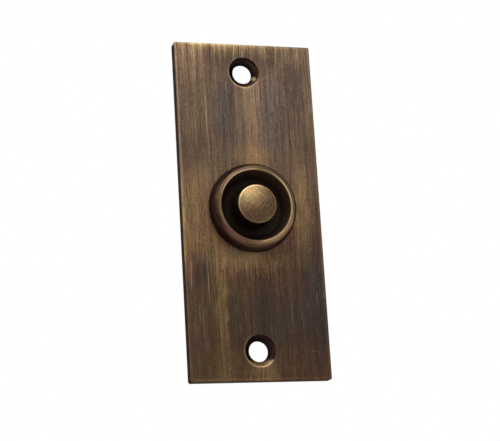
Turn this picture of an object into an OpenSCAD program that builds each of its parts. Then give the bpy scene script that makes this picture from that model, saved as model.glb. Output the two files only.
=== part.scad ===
// Door bell push: a rectangular cast plate with a raised round bezel, a sprung button in its dished well,
// and a moulded contact block behind it that reaches into the wall.
// Every module is drawn as a drawing of the front: X to the right, Y up the plate, Z out of the wall.
// The last lines stand the drawing up, so that Z is up and the front faces -Y.

/* [Face plate] */
// Width of the plate
plate_w = 31.75; // [29:0.25:45]
// Height of the plate
plate_h = 76.2; // [73:0.1:120]
// Thickness of the plate
plate_t = 2.5; // [2.2:0.1:4]
// Radius of the plate's corners, seen from the front
corner_r = 0.5; // [0.2:0.1:3]
// Radius of the eased front edges
edge_r = 0.35; // [0.1:0.05:0.8]

/* [Fixing holes] */
// Distance from the middle of a fixing hole to the end of the plate
hole_margin = 6.6; // [5:0.1:12]
// Diameter of a fixing hole
hole_d = 4.6; // [3.5:0.1:5.2]
// Diameter of the countersink at the front face
countersink_d = 7; // [6.2:0.1:8]
// Full angle of the countersink
countersink_angle = 90; // [82:1:100]

/* [Bezel and well] */
// Diameter of the bezel where it meets the plate
bezel_d = 19.6; // [18.8:0.1:24]
// Height of the bezel's crest above the plate
bezel_h = 3.4; // [2.6:0.1:5]
// Diameter of the well inside the bezel
well_d = 15.5; // [14.8:0.1:16.2]
// Height of the bezel's shoulder, rolled from the crest down to its straight foot
shoulder_h = 2.7; // [1.5:0.1:3.2]
// Radius of the bezel's inner lip
lip_r = 0.55; // [0.2:0.05:0.8]
// How far the floor of the well lies below the front of the plate
well_drop = 0.4; // [0:0.1:0.6]
// Radius between the wall and the floor of the well
well_fillet = 2; // [1:0.1:2.8]
// Thickness of the floor of the well
floor_t = 1.6; // [1.2:0.1:2.4]
// Rounding of the corner between the bezel and the plate
bezel_foot_r = 0.2; // [0.1:0.05:0.4]

/* [Push button] */
// Diameter of the button
button_d = 8.8; // [7:0.1:10]
// Height of the button's edge above the plate
button_stand = 4.3; // [3.6:0.1:6]
// Rise of the button's domed face
dome_h = 0.45; // [0.1:0.05:0.8]
// Rounding of the button's edge
button_edge_r = 0.35; // [0.15:0.05:0.6]
// How far the button travels
travel = 1.8; // [1:0.1:2.4]
// Radial clearance of the button in its bore
slide_clearance = 0.08; // [0.04:0.01:0.1]
// Diameter of the flange behind the floor
flange_d = 11.6; // [10.8:0.1:12]
// Thickness of the flange
flange_t = 1; // [0.6:0.1:1.6]
// Diameter of the stem
stem_d = 3; // [2.4:0.1:3.4]

/* [Contact stack on the stem] */
// Thickness of the stop washer in front of the flange
stop_washer_t = 0.5; // [0.3:0.1:0.8]
// Thickness of the insulating bush's collar
collar_t = 0.8; // [0.5:0.1:1.2]
// Diameter of the insulating bush's collar
collar_d = 6; // [5.4:0.1:8]
// Wall of the insulating bush's sleeve
sleeve_wall = 0.6; // [0.4:0.05:0.8]
// Diameter of the contact disc
disc_d = 12.4; // [12:0.1:14]
// Thickness of the contact disc
disc_t = 0.5; // [0.3:0.1:0.8]
// Thickness of the washer that the spring bears on
spring_washer_t = 0.5; // [0.3:0.1:0.8]

/* [Return spring] */
// Diameter of the spring wire
wire_d = 0.4; // [0.3:0.05:0.5]
// Mean diameter of the coil
coil_d = 4.6; // [4.2:0.1:5.2]
// Length of the spring at rest
spring_len = 4.75; // [4.4:0.05:6]
// Number of turns
turns = 5; // [4:1:6]

/* [Contact block] */
// Thickness of the gasket between plate and block
gasket_t = 0.5; // [0.3:0.1:1]
// Wall of the block's cup
cup_wall = 1.2; // [1:0.1:2]
// Wall outside the terminal inserts
base_wall = 1.2; // [0.8:0.1:2]
// Length of the stem's guide behind the spring
guide_len = 1.9; // [1.4:0.1:3]
// Rounding of the block's rear edge
base_edge_r = 0.6; // [0.2:0.1:1]
// Thickness of the block's fixing ears
ear_t = 2.4; // [1.8:0.1:3]
// Height of the barrier between the terminals
barrier_h = 1.6; // [1:0.1:2.4]
// Thickness of the barrier between the terminals
barrier_t = 1.2; // [0.8:0.1:2]

/* [Lugs and block screws] */
// Diameter of a lug on the back of the plate
lug_d = 4.6; // [4.2:0.1:5.4]
// Height of a lug
lug_h = 3; // [2.6:0.1:3.6]
// Thread diameter of a block screw
block_screw_d = 2.5; // [2:0.1:3]
// How far a block screw goes into its lug and plate
block_screw_grip = 3.6; // [2.8:0.1:3.8]
// Diameter of a block screw's head
block_head_d = 4.4; // [4:0.1:5]
// Height of a block screw's head
block_head_h = 1.5; // [1:0.1:2]
// Thickness of a spring lock washer
lock_washer_t = 0.6; // [0.4:0.1:0.9]

/* [Contact strips and terminals] */
// Thickness of a contact strip
strip_t = 0.5; // [0.4:0.05:0.8]
// Width of a contact strip
strip_w = 3.6; // [3:0.1:4]
// Inner radius of a strip's bends
bend_r = 0.3; // [0.2:0.05:0.4]
// Diameter of a contact point
point_d = 1.6; // [1.2:0.1:1.8]
// Height of a contact point above its strip
point_h = 0.5; // [0.3:0.1:0.8]
// Thread diameter of a terminal screw
terminal_screw_d = 3; // [2.5:0.1:3.2]
// Diameter of a terminal screw's head
terminal_head_d = 5.4; // [5:0.1:5.8]
// Height of a terminal screw's head
terminal_head_h = 1.8; // [1.4:0.1:2.4]
// Diameter of a threaded insert
insert_d = 4.8; // [4.4:0.1:5.2]
// Length of a threaded insert
insert_len = 2.8; // [2:0.1:3]
// Thickness of a terminal's cup washer
cup_washer_t = 0.5; // [0.4:0.05:0.8]

/* [Hidden] */
$fn = 96;

// Cuts run past the face that they start from by this much
overrun = 1;

// Clearances
stop_gap = 0.05; // between the stop washer and the floor, at rest
contact_gap = 0.05; // between the disc and the points, fully pressed
loose_fit = 0.05; // radial, for a washer or bush on the stem
guide_fit = 0.1; // radial, for the stem in its guide
thread_fit = 0.03; // radial, for a screw in its thread
hole_fit = 0.2; // radial, for a screw through a clearance hole
slot_fit = 0.1; // round a strip in its slot
insert_fit = 0.02; // radial, for an insert in its hole
ring_gap = 0.5; // between the moving stack and what surrounds it
lug_gap = 0.3; // between a lug and the cup
driver_room = 0.6; // round a block screw's head

// Bezel and well, from the shared radii
well_r = well_d / 2;
bezel_r = bezel_d / 2;
crest_r = well_r + lip_r;
shoulder_r = bezel_r - crest_r;
bore_r = button_d / 2 + slide_clearance;

// Heights above the wall, from the front of the plate back through the stack
floor_z = plate_t - well_drop;
pocket_z = floor_z - floor_t;
washer_z = pocket_z - stop_gap;
flange_z = washer_z - stop_washer_t;
collar_z = flange_z - flange_t;
disc_z = collar_z - collar_t;
spring_washer_z = disc_z - disc_t;
spring_z = spring_washer_z - spring_washer_t;
point_z = spring_washer_z - travel - contact_gap;
tab_z = point_z - point_h;
cavity_z = tab_z - strip_t;
spring_seat_z = spring_z - spring_len;
base_z = spring_seat_z - guide_len;
rear_tab_z = base_z - strip_t;
terminal_head_z = rear_tab_z - cup_washer_t;

// The button, the stem and what runs on the stem
pocket_r = flange_d / 2 + ring_gap;
button_top_z = plate_t + button_stand;
dome_edge_r = button_d / 2 - button_edge_r;
dome_radius = (dome_edge_r * dome_edge_r + dome_h * dome_h) / (2 * dome_h);
stem_inset = 1;
stem_tip_r = 0.3;
stem_end_z = base_z + stem_inset;
stem_hole_r = stem_d / 2 + loose_fit;
sleeve_r = stem_hole_r + sleeve_wall;
disc_dish = 0.15;

// The contact block
cavity_r = disc_d / 2 + ring_gap;
cup_r = cavity_r + cup_wall;
spring_room = 0.3;
spring_hole_r = (coil_d + wire_d) / 2 + spring_room;
slot_web = 0.8;
leg_x = spring_hole_r + slot_web + slot_fit;
insert_web = 0.5;
insert_r = insert_d / 2;
terminal_x = leg_x + strip_t + bend_r + insert_web + insert_r;
base_r = terminal_x + insert_r + base_wall;
boss_wall = 1;
guide_boss_r = stem_d / 2 + guide_fit + boss_wall;
barrier_span_share = 0.62;
screw_tip = 0.5;

// Lugs and ears
lug_y = cup_r + lug_gap + lug_d / 2;
ear_margin = 0.5;
ear_r = block_head_d / 2 + ear_margin;
notch_r = block_head_d / 2 + driver_room;
ear_z = -lug_h - ear_t;
block_head_z = ear_z - lock_washer_t;
thread_run_out = 0.3;
lug_fillet = 0.3;

// Contact strips
tab_margin = 0.1;
point_x = leg_x + strip_t + bend_r + tab_margin + point_d / 2;
front_tab_end = point_x + point_d / 2 + tab_margin;
eye_margin = 0.85;
eye_r = terminal_screw_d / 2 + eye_margin;

// Screw slots, as shares of the head that they are cut in
slot_width_share = 0.15;
slot_depth_share = 0.5;
head_edge_share = 0.35;
washer_split = 0.5;
cup_rim = 0.35;
cup_fit = 0.1; // radial, between a terminal screw's head and its cup washer

module at_lugs() {
    for (side = [-1, 1])
        translate([0, side * lug_y, 0])
            children();
}

module at_terminals() {
    for (side = [-1, 1])
        translate([side * terminal_x, 0, 0])
            children();
}

// A flat ring between two heights
module ring(outer_r, inner_r, front_z, thickness) {
    translate([0, 0, front_z - thickness])
        difference() {
            cylinder(r = outer_r, h = thickness);
            translate([0, 0, -overrun])
                cylinder(r = inner_r, h = thickness + 2 * overrun);
        }
}

// A rectangle with its far corners rounded, standing on the X axis
module eased_section(width, height, radius) {
    translate([-width / 2, 0])
        square([width, height - radius]);
    translate([-width / 2 + radius, 0])
        square([width - 2 * radius, height]);
    for (side = [-1, 1])
        translate([side * (width / 2 - radius), height - radius])
            circle(r = radius);
}

module rounded_outline(width, height, radius) {
    square([width - 2 * radius, height], center = true);
    square([width, height - 2 * radius], center = true);
    for (x = [-1, 1], y = [-1, 1])
        translate([x * (width / 2 - radius), y * (height / 2 - radius)])
            circle(r = radius);
}

// The slab: the sections across and along it, cut to its outline
module slab() {
    intersection() {
        rotate([90, 0, 0])
            linear_extrude(height = plate_h, center = true)
                eased_section(plate_w, plate_t, edge_r);
        rotate([90, 0, 90])
            linear_extrude(height = plate_w, center = true)
                eased_section(plate_h, plate_t, edge_r);
        translate([0, 0, -overrun])
            linear_extrude(height = plate_t + 2 * overrun)
                rounded_outline(plate_w, plate_h, corner_r);
    }
}

// Half the section of the bezel, rolled over at the crest, from inside the plate upwards
module bezel_section() {
    root_z = plate_t / 2;
    intersection() {
        difference() {
            union() {
                square([bezel_r, plate_t + bezel_h - shoulder_h]);
                square([crest_r, plate_t + bezel_h]);
                translate([crest_r, plate_t + bezel_h - shoulder_h])
                    scale([shoulder_r, shoulder_h])
                        circle(r = 1);
                translate([bezel_r, plate_t])
                    square([bezel_foot_r, bezel_foot_r]);
            }
            translate([bezel_r + bezel_foot_r, plate_t + bezel_foot_r])
                circle(r = bezel_foot_r);
        }
        translate([0, root_z])
            square([bezel_r + bezel_foot_r, bezel_h + plate_t - root_z]);
    }
}

// Half the section of the hollow in the bezel: a wall, a rounded corner and a flat floor
module well_section() {
    difference() {
        union() {
            translate([0, floor_z])
                square([well_r - well_fillet, bezel_h + plate_t]);
            translate([0, floor_z + well_fillet])
                square([well_r, bezel_h + plate_t]);
            translate([well_r - well_fillet, floor_z + well_fillet])
                circle(r = well_fillet);
            translate([0, plate_t + bezel_h - lip_r])
                square([crest_r, bezel_h]);
        }
        translate([crest_r, plate_t + bezel_h - lip_r])
            circle(r = lip_r);
    }
}

module fixing_hole() {
    sink_depth = (countersink_d - hole_d) / 2 / tan(countersink_angle / 2);
    translate([0, 0, -overrun])
        cylinder(d = hole_d, h = plate_t + 2 * overrun);
    translate([0, 0, plate_t - sink_depth])
        cylinder(d1 = hole_d, d2 = countersink_d, h = sink_depth);
    translate([0, 0, plate_t])
        cylinder(d = countersink_d, h = overrun);
}

module lug() {
    translate([0, 0, -lug_h])
        cylinder(d = lug_d, h = lug_h + plate_t / 2);
    translate([0, 0, -lug_fillet])
        cylinder(d1 = lug_d, d2 = lug_d + 2 * lug_fillet, h = lug_fillet);
}

module lug_thread() {
    translate([0, 0, -lug_h - overrun])
        cylinder(d = block_screw_d + 2 * thread_fit, h = block_screw_grip + thread_run_out + overrun);
}

module face_plate() {
    color("#6d583c")
        difference() {
            union() {
                slab();
                rotate_extrude()
                    bezel_section();
                at_lugs()
                    lug();
            }
            rotate_extrude()
                well_section();
            translate([0, 0, -overrun])
                cylinder(r = pocket_r, h = pocket_z + overrun);
            translate([0, 0, -overrun])
                cylinder(r = bore_r, h = plate_t + 2 * overrun);
            for (side = [-1, 1])
                translate([0, side * (plate_h / 2 - hole_margin), 0])
                    fixing_hole();
            at_lugs()
                lug_thread();
        }
}

// Half the section of the button: domed head, flange and stem, turned from one bar
module button_section() {
    intersection() {
        union() {
            translate([0, flange_z])
                square([button_d / 2, button_top_z - button_edge_r - flange_z]);
            translate([0, flange_z])
                square([dome_edge_r, button_top_z + dome_h - flange_z]);
            translate([dome_edge_r, button_top_z - button_edge_r])
                circle(r = button_edge_r);
        }
        translate([0, button_top_z + dome_h - dome_radius])
            circle(r = dome_radius, $fn = 8 * $fn);
    }
    translate([0, collar_z])
        square([flange_d / 2, flange_t]);
    translate([0, stem_end_z + stem_tip_r])
        square([stem_d / 2, collar_z - stem_end_z]);
    translate([0, stem_end_z])
        square([stem_d / 2 - stem_tip_r, collar_z - stem_end_z]);
    translate([stem_d / 2 - stem_tip_r, stem_end_z + stem_tip_r])
        circle(r = stem_tip_r);
}

module push_button() {
    color("#8a6f4d")
        rotate_extrude()
            intersection() {
                button_section();
                translate([0, stem_end_z])
                    square([flange_d, button_top_z + dome_h - stem_end_z]);
            }
}

module stop_washer() {
    color("#5b3a2a")
        ring(flange_d / 2, bore_r, washer_z, stop_washer_t);
}

// A collar that keeps the disc off the flange, and a sleeve that keeps it off the stem
module insulating_bush() {
    color("#d8cfae") {
        difference() {
            union() {
                ring(collar_d / 2, stem_hole_r, collar_z, collar_t);
                ring(sleeve_r, stem_hole_r, disc_z + collar_t / 2, disc_t + collar_t / 2);
            }
            translate([0, 0, spring_washer_z - overrun])
                cylinder(r = stem_hole_r, h = collar_t + disc_t + 2 * overrun);
        }
    }
}

// A pressed disc with a shallow dished middle
module contact_disc() {
    color("#b98a4a")
        difference() {
            translate([0, 0, spring_washer_z])
                cylinder(d = disc_d, h = disc_t);
            translate([0, 0, spring_washer_z - overrun])
                cylinder(r = sleeve_r + loose_fit, h = disc_t + 2 * overrun);
            translate([0, 0, disc_z - disc_dish])
                difference() {
                    cylinder(r = point_x - point_d / 2, h = disc_dish + overrun);
                    translate([0, 0, -overrun])
                        cylinder(d = collar_d, h = disc_dish + 3 * overrun);
                }
        }
}

module spring_washer() {
    color("#5b3a2a")
        ring((coil_d + wire_d) / 2 + loose_fit, stem_hole_r, spring_washer_z, spring_washer_t);
}

// A round wire swept along a helix whose end turns lie flat on their seats
wire_sides = 8;
ring_steps = 24;
closed_turn_share = 0.75;
function coil_rise(turn) =
    let (closed = closed_turn_share, open = turns - 2 * closed)
    turn < closed ? 0
    : turn > turns - closed ? 1
    : (1 - cos(180 * (turn - closed) / open)) / 4 + (turn - closed) / open / 2;
function coil_z(turn) =
    spring_seat_z + wire_d / 2 + closed_lift(turn) + coil_rise(turn) * coil_open_len;
function closed_lift(turn) =
    wire_d * (min(turn, closed_turn_share) + max(0, turn - turns + closed_turn_share));
coil_open_len = spring_len - wire_d - 2 * wire_d * closed_turn_share;

module return_spring() {
    rings = turns * ring_steps;
    points = [
        for (i = [0 : rings])
            let (angle = 360 * i / ring_steps, z = coil_z(i / ring_steps))
            for (k = [0 : wire_sides - 1])
                let (a = 360 * k / wire_sides, r = coil_d / 2 + wire_d / 2 * cos(a))
                [r * cos(angle), r * sin(angle), z + wire_d / 2 * sin(a)]
    ];
    sides = [
        for (i = [0 : rings - 1], k = [0 : wire_sides - 1])
            let (next = (k + 1) % wire_sides, low = i * wire_sides, high = low + wire_sides)
            [low + k, high + k, high + next, low + next]
    ];
    start = [for (k = [0 : wire_sides - 1]) k];
    end = [for (k = [wire_sides - 1 : -1 : 0]) rings * wire_sides + k];
    color("#b9bbbd")
        polyhedron(points = points, faces = concat(sides, [start], [end]), convexity = 10);
}

module base_gasket() {
    color("#3b2a22")
        ring(cup_r, cavity_r, 0, gasket_t);
}

// The notch behind each ear that gives room for the screw's head and a driver
module ear_notches() {
    at_lugs()
        translate([0, 0, base_z - overrun])
            cylinder(r = notch_r, h = ear_z - base_z + overrun);
}

module block_body() {
    // Cup round the moving stack
    translate([0, 0, cavity_z])
        cylinder(r = cup_r, h = -gasket_t - cavity_z);
    difference() {
        // Disc that carries the terminals, with its rear edge rounded
        rotate_extrude() {
            translate([0, base_z + base_edge_r])
                square([base_r, -lug_h - base_z - base_edge_r]);
            translate([0, base_z])
                square([base_r - base_edge_r, -lug_h - base_z]);
            translate([base_r - base_edge_r, base_z + base_edge_r])
                circle(r = base_edge_r);
        }
        ear_notches();
    }
    at_lugs()
        translate([0, 0, ear_z])
            cylinder(r = ear_r, h = ear_t);
    // Barrier between the terminals, with the stem's guide in the middle
    translate([-barrier_t / 2, -base_r * barrier_span_share, base_z - barrier_h])
        cube([barrier_t, 2 * base_r * barrier_span_share, barrier_h + guide_len / 2]);
    translate([0, 0, base_z - barrier_h])
        cylinder(r = guide_boss_r, h = barrier_h + guide_len / 2);
}

module strip_slot() {
    translate([leg_x - slot_fit, -strip_w / 2 - slot_fit, base_z - overrun])
        cube([strip_t + bend_r + slot_fit, strip_w + 2 * slot_fit, cavity_z - base_z + 2 * overrun]);
}

module contact_base() {
    color("#1b1a19")
        difference() {
            block_body();
            translate([0, 0, cavity_z])
                cylinder(r = cavity_r, h = -cavity_z + overrun);
            translate([0, 0, spring_seat_z])
                cylinder(r = spring_hole_r, h = -spring_seat_z);
            translate([0, 0, base_z - barrier_h - overrun])
                cylinder(r = stem_d / 2 + guide_fit, h = -base_z + barrier_h + overrun);
            strip_slot();
            mirror([1, 0, 0])
                strip_slot();
            at_terminals()
                translate([0, 0, base_z - overrun])
                    cylinder(r = insert_r + insert_fit, h = insert_len + overrun);
            at_terminals()
                translate([0, 0, base_z])
                    cylinder(d = terminal_screw_d + 2 * hole_fit, h = insert_len + screw_tip + hole_fit);
            at_lugs()
                translate([0, 0, ear_z - overrun])
                    cylinder(d = block_screw_d + 2 * hole_fit, h = ear_t + 2 * overrun);
        }
}

// A block from the leg outwards, rounded at the leg's two corners
module strip_block(start_x, end_x, low_z, high_z, radius) {
    translate([start_x + radius, low_z])
        square([end_x - start_x - radius, high_z - low_z]);
    translate([start_x, low_z + radius])
        square([end_x - start_x, high_z - low_z - 2 * radius]);
    for (z = [low_z + radius, high_z - radius])
        translate([start_x + radius, z])
            circle(r = radius);
}

// A strip bent twice: a tab in the cup, a leg through the block and an eye under the terminal screw
module contact_strip() {
    strip_end = terminal_x + eye_r;
    difference() {
        intersection() {
            rotate([90, 0, 0])
                linear_extrude(height = 2 * eye_r, center = true)
                    difference() {
                        strip_block(leg_x, strip_end, rear_tab_z, tab_z, strip_t + bend_r);
                        strip_block(leg_x + strip_t, strip_end + overrun, base_z, cavity_z, bend_r);
                        translate([front_tab_end, (base_z + cavity_z) / 2])
                            square([strip_end, tab_z - base_z]);
                    }
            translate([0, 0, rear_tab_z - overrun])
                linear_extrude(height = tab_z - rear_tab_z + 2 * overrun) {
                    translate([0, -strip_w / 2])
                        square([terminal_x, strip_w]);
                    translate([terminal_x, 0])
                        circle(r = eye_r);
                }
        }
        translate([terminal_x, 0, rear_tab_z - overrun])
            cylinder(d = terminal_screw_d + 2 * hole_fit, h = strip_t + 2 * overrun);
        translate([point_x, 0, cavity_z - overrun])
            cylinder(d = point_d / 2, h = strip_t + 2 * overrun);
    }
}

module contact_strip_right() {
    color("#b98a4a")
        contact_strip();
}

module contact_strip_left() {
    color("#b98a4a")
        mirror([1, 0, 0])
            contact_strip();
}

// A contact rivet: a domed head on the strip and a shank through it
module contact_point() {
    shank_r = point_d / 4;
    dome_edge_z = tab_z + point_h / 2;
    translate([point_x, 0, 0]) {
        translate([0, 0, cavity_z])
            cylinder(r = shank_r, h = strip_t + point_h / 2);
        translate([0, 0, tab_z])
            cylinder(d = point_d, h = point_h / 2);
        translate([0, 0, dome_edge_z])
            cylinder(d1 = point_d, d2 = point_d / 2, h = point_h / 2);
    }
}

module contact_point_right() {
    color("#d9d8d2")
        contact_point();
}

module contact_point_left() {
    color("#d9d8d2")
        mirror([1, 0, 0])
            contact_point();
}

module terminal_inserts() {
    color("#b5914f")
        at_terminals()
            difference() {
                translate([0, 0, base_z])
                    cylinder(r = insert_r, h = insert_len);
                translate([0, 0, base_z - overrun])
                    cylinder(d = terminal_screw_d + 2 * thread_fit, h = insert_len + 2 * overrun);
            }
}

// A cup washer: a flat ring with a rim that keeps the wire in
module terminal_washers() {
    dish_r = terminal_head_d / 2 + cup_fit;
    color("#b5914f")
        at_terminals()
            rotate_extrude()
                difference() {
                    translate([0, terminal_head_z - cup_rim])
                        square([dish_r + cup_rim, cup_washer_t + cup_rim]);
                    translate([0, terminal_head_z - cup_rim - overrun])
                        square([dish_r, cup_rim + overrun]);
                    translate([0, terminal_head_z - overrun])
                        square([terminal_screw_d / 2 + hole_fit, cup_washer_t + 2 * overrun]);
                }
}

// A slotted cheese head under a plain shank, with its crown rounded over
module slotted_screw(shank_d, head_d, head_h, under_head_z, tip_z) {
    edge_r = head_h * head_edge_share;
    difference() {
        rotate_extrude() {
            translate([0, under_head_z - head_h + edge_r])
                square([head_d / 2, head_h - edge_r]);
            translate([0, under_head_z - head_h])
                square([head_d / 2 - edge_r, head_h]);
            translate([head_d / 2 - edge_r, under_head_z - head_h + edge_r])
                circle(r = edge_r);
        }
        translate([-head_d, -head_d * slot_width_share / 2, under_head_z - head_h - overrun])
            cube([2 * head_d, head_d * slot_width_share, head_h * slot_depth_share + overrun]);
    }
    translate([0, 0, under_head_z - head_h * (1 - slot_depth_share) / 2])
        cylinder(d = shank_d, h = tip_z - under_head_z + head_h * (1 - slot_depth_share) / 2);
}

module terminal_screws() {
    color("#b5914f")
        at_terminals()
            slotted_screw(
                terminal_screw_d, terminal_head_d, terminal_head_h,
                terminal_head_z, base_z + insert_len + screw_tip
            );
}

// A split ring of square wire
module base_lock_washers() {
    inner_r = block_screw_d / 2 + hole_fit;
    color("#9a9c9e")
        at_lugs()
            difference() {
                ring(block_head_d / 2, inner_r, ear_z, lock_washer_t);
                translate([0, -washer_split / 2, block_head_z - overrun])
                    cube([block_head_d, washer_split, lock_washer_t + 2 * overrun]);
            }
}

module base_screws() {
    color("#9a9c9e")
        at_lugs()
            slotted_screw(
                block_screw_d, block_head_d, block_head_h,
                block_head_z, block_screw_grip - lug_h
            );
}

// Stands the drawing up against the wall
module stand_up() {
    rotate([90, 0, 0])
        children();
}

stand_up() face_plate();
stand_up() push_button();
stand_up() stop_washer();
stand_up() insulating_bush();
stand_up() contact_disc();
stand_up() spring_washer();
stand_up() return_spring();
stand_up() base_gasket();
stand_up() contact_base();
stand_up() contact_strip_left();
stand_up() contact_strip_right();
stand_up() contact_point_left();
stand_up() contact_point_right();
stand_up() terminal_inserts();
stand_up() terminal_washers();
stand_up() terminal_screws();
stand_up() base_lock_washers();
stand_up() base_screws();
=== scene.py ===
"""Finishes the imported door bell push: aged brass in front, a moulded contact block and its metalwork behind."""
import math

import bmesh
import bpy
from mathutils import Matrix, Vector


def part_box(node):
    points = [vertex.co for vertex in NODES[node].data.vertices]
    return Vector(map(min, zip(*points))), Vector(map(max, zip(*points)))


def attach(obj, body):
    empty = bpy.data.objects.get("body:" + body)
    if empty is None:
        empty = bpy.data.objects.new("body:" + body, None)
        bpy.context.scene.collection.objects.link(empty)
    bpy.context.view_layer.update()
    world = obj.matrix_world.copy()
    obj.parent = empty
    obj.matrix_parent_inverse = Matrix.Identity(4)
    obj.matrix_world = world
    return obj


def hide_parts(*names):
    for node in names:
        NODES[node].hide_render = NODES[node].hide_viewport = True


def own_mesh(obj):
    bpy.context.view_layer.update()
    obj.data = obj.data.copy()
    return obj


bl_info = {
    "name": "Door bell push",
    "version": (1, 0, 0),
    "blender": (4, 5, 0),
    "location": "View3D > Sidebar > Bell push",
    "description": "Builds the finishes, the small turned parts and the studio round a packed door bell push",
    "category": "Object",
}

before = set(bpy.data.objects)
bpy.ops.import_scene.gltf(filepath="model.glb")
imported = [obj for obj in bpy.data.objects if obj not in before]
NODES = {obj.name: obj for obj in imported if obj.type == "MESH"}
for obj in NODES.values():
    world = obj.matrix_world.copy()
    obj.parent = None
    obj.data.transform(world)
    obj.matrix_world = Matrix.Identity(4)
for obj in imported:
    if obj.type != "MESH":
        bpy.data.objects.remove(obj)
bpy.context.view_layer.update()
MM = 0.001
WHITE = (1.0, 1.0, 1.0, 1.0)


def linear(hex_colour):
    """Turns an sRGB hex colour into linear red, green, blue and alpha."""
    channels = [int(hex_colour[i:i + 2], 16) / 255 for i in (1, 3, 5)]
    bent = [c / 12.92 if c <= 0.04045 else ((c + 0.055) / 1.055) ** 2.4 for c in channels]
    return (*bent, 1.0)


# Sizes and colours


def length(name, description, millimetres):
    """A length property, stored in metres."""
    return bpy.props.FloatProperty(
        name=name, description=description, default=millimetres * MM, min=0.0, unit="LENGTH", precision=5
    )


def colour(name, description, hex_colour):
    """A colour property, stored as linear values."""
    return bpy.props.FloatVectorProperty(
        name=name, description=description, default=linear(hex_colour), size=4, min=0.0, max=1.0, subtype="COLOR"
    )


class BellPushSizes(bpy.types.PropertyGroup):
    """Sizes of what this script shapes itself."""

    button_d: length("Button", "Diameter of the button's head", 8.8)
    button_rim: length("Button rim", "Rounding of the button's edge", 0.35)
    dome_h: length("Button dome", "Rise of the button's domed face", 0.45)
    flange_d: length("Button flange", "Diameter of the flange behind the floor", 11.6)
    stem_d: length("Button stem", "Diameter of the stem", 3.0)
    wire_d: length("Spring wire", "Diameter of the return spring's wire", 0.4)
    coil_d: length("Spring coil", "Mean diameter of the return spring's coil", 4.6)
    coil_turns: bpy.props.FloatProperty(
        name="Spring turns", description="Turns of the return spring, with its closed ends", default=5.0, min=3.0
    )
    moulded_edge: length("Moulded edge", "Rounding of the contact block's edges", 0.1)
    pressed_edge: length("Pressed edge", "Rounding of sheet metal and fibre edges", 0.06)
    cast_edge: length("Cast edge", "Rounding of the plate's sharp edges", 0.08)
    terminal_pitch: length("Terminal thread pitch", "Rise of one turn of the terminal screws' thread", 0.5)
    block_pitch: length("Block screw thread pitch", "Rise of one turn of the block screws' thread", 0.45)
    knurl_teeth: bpy.props.IntProperty(
        name="Knurl teeth", description="Teeth round a threaded insert", default=30, min=8, max=60
    )


class BellPushColours(bpy.types.PropertyGroup):
    """Colours of the finishes."""

    oxide_black: colour("Oxide, black", "Grime and oxide in the well and the deepest corners", "#221a15")
    oxide_dark: colour("Oxide, dark", "Unrubbed antique oxide on the brass", "#211812")
    oxide_brown: colour("Oxide, brown", "Oxide that handling has thinned", "#463526")
    worn_brown: colour("Worn brown", "Half-rubbed brass", "#755c41")
    worn_tan: colour("Worn tan", "Rubbed brass", "#a3845a")
    bare_and_lit_gold: colour("Bare gold", "Brass bared on crests and edges", "#d6b586")
    # Also the colour of the painted highlights on the bezel and the painted light and glint in the countersinks
    hole_purple: colour("Hole walls", "Heat-tinted oxide in the countersinks", "#241819")
    turned_brass: colour("Turned brass", "Unlacquered screws, washers and inserts", "#b5935a")
    bronze: colour("Phosphor bronze", "Rolled contact metal", "#bd8a58")
    silver: colour("Contact silver", "Faces of the contact rivets", "#d8d6cf")
    spring_steel: colour("Spring steel", "Drawn spring wire", "#a9abad")
    zinc: colour("Zinc plate", "Block screws and lock washers", "#b4b6b4")
    phenolic: colour("Phenolic", "Black moulding of the contact block", "#1a1918")
    fibre_red: colour("Red fibre", "Vulcanised fibre washers", "#6b3527")
    fibre_black: colour("Black fibre", "Gasket between plate and block", "#2b2522")
    bush: colour("Bush", "Turned insulating bush", "#d3c8a6")
    floor: colour("Floor", "Pale studio floor", "#eceae6")
    floor_mottle: colour("Floor, mottled", "The faint darker mottling of the floor", "#e2e0dc")


class BellPushLight(bpy.types.PropertyGroup):
    """The studio."""

    soft_sky: bpy.props.FloatProperty(
        name="Soft sky", description="Strength of the white surroundings for diffuse light", default=0.55, min=0.0
    )
    window: bpy.props.FloatProperty(
        name="Window", description="Power of the large soft light above", default=4.5, min=0.0, unit="POWER"
    )
    fill: bpy.props.FloatProperty(
        name="Fill", description="Power of the broad light beside the camera", default=1.0, min=0.0, unit="POWER"
    )
    floor_z: bpy.props.FloatProperty(
        name="Floor height", description="Height of the floor", default=-0.13, unit="LENGTH"
    )
    lens: bpy.props.FloatProperty(
        name="Lens", description="Focal length on a sensor 36 mm wide", default=108.0, min=20.0, unit="CAMERA"
    )


def sizes():
    return bpy.context.scene.bell_push_sizes


def colours():
    return bpy.context.scene.bell_push_colours


def light():
    return bpy.context.scene.bell_push_light


# Node helpers


def add_node(tree, kind, inputs=None, **settings):
    """Adds a node, sets its properties, then fills its inputs by name or number or links them."""
    node = tree.nodes.new(kind)
    for name, value in settings.items():
        setattr(node, name, value)
    for key, value in (inputs or {}).items():
        if isinstance(key, int):
            socket = node.inputs[key]
        else:
            socket = next(s for s in node.inputs if s.enabled and s.name == key)
        if isinstance(value, bpy.types.Node):
            value = next(s for s in value.outputs if s.enabled)
        if isinstance(value, bpy.types.NodeSocket):
            tree.links.new(value, socket)
        else:
            socket.default_value = value
    return node


def new_group(name, kind, inputs, outputs):
    """Starts a node group with named inputs (name, socket, default) and outputs (name, socket)."""
    tree = bpy.data.node_groups.new(name, kind)
    for label, socket_type, default in inputs:
        socket = tree.interface.new_socket(label, in_out="INPUT", socket_type=socket_type)
        if default is not None:
            socket.default_value = default
    for label, socket_type in outputs:
        tree.interface.new_socket(label, in_out="OUTPUT", socket_type=socket_type)
    return tree, tree.nodes.new("NodeGroupInput"), tree.nodes.new("NodeGroupOutput")


def shared_group(name, build):
    """Fetches a node group by name, building it the first time."""
    return bpy.data.node_groups.get(name) or build(name)


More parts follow.
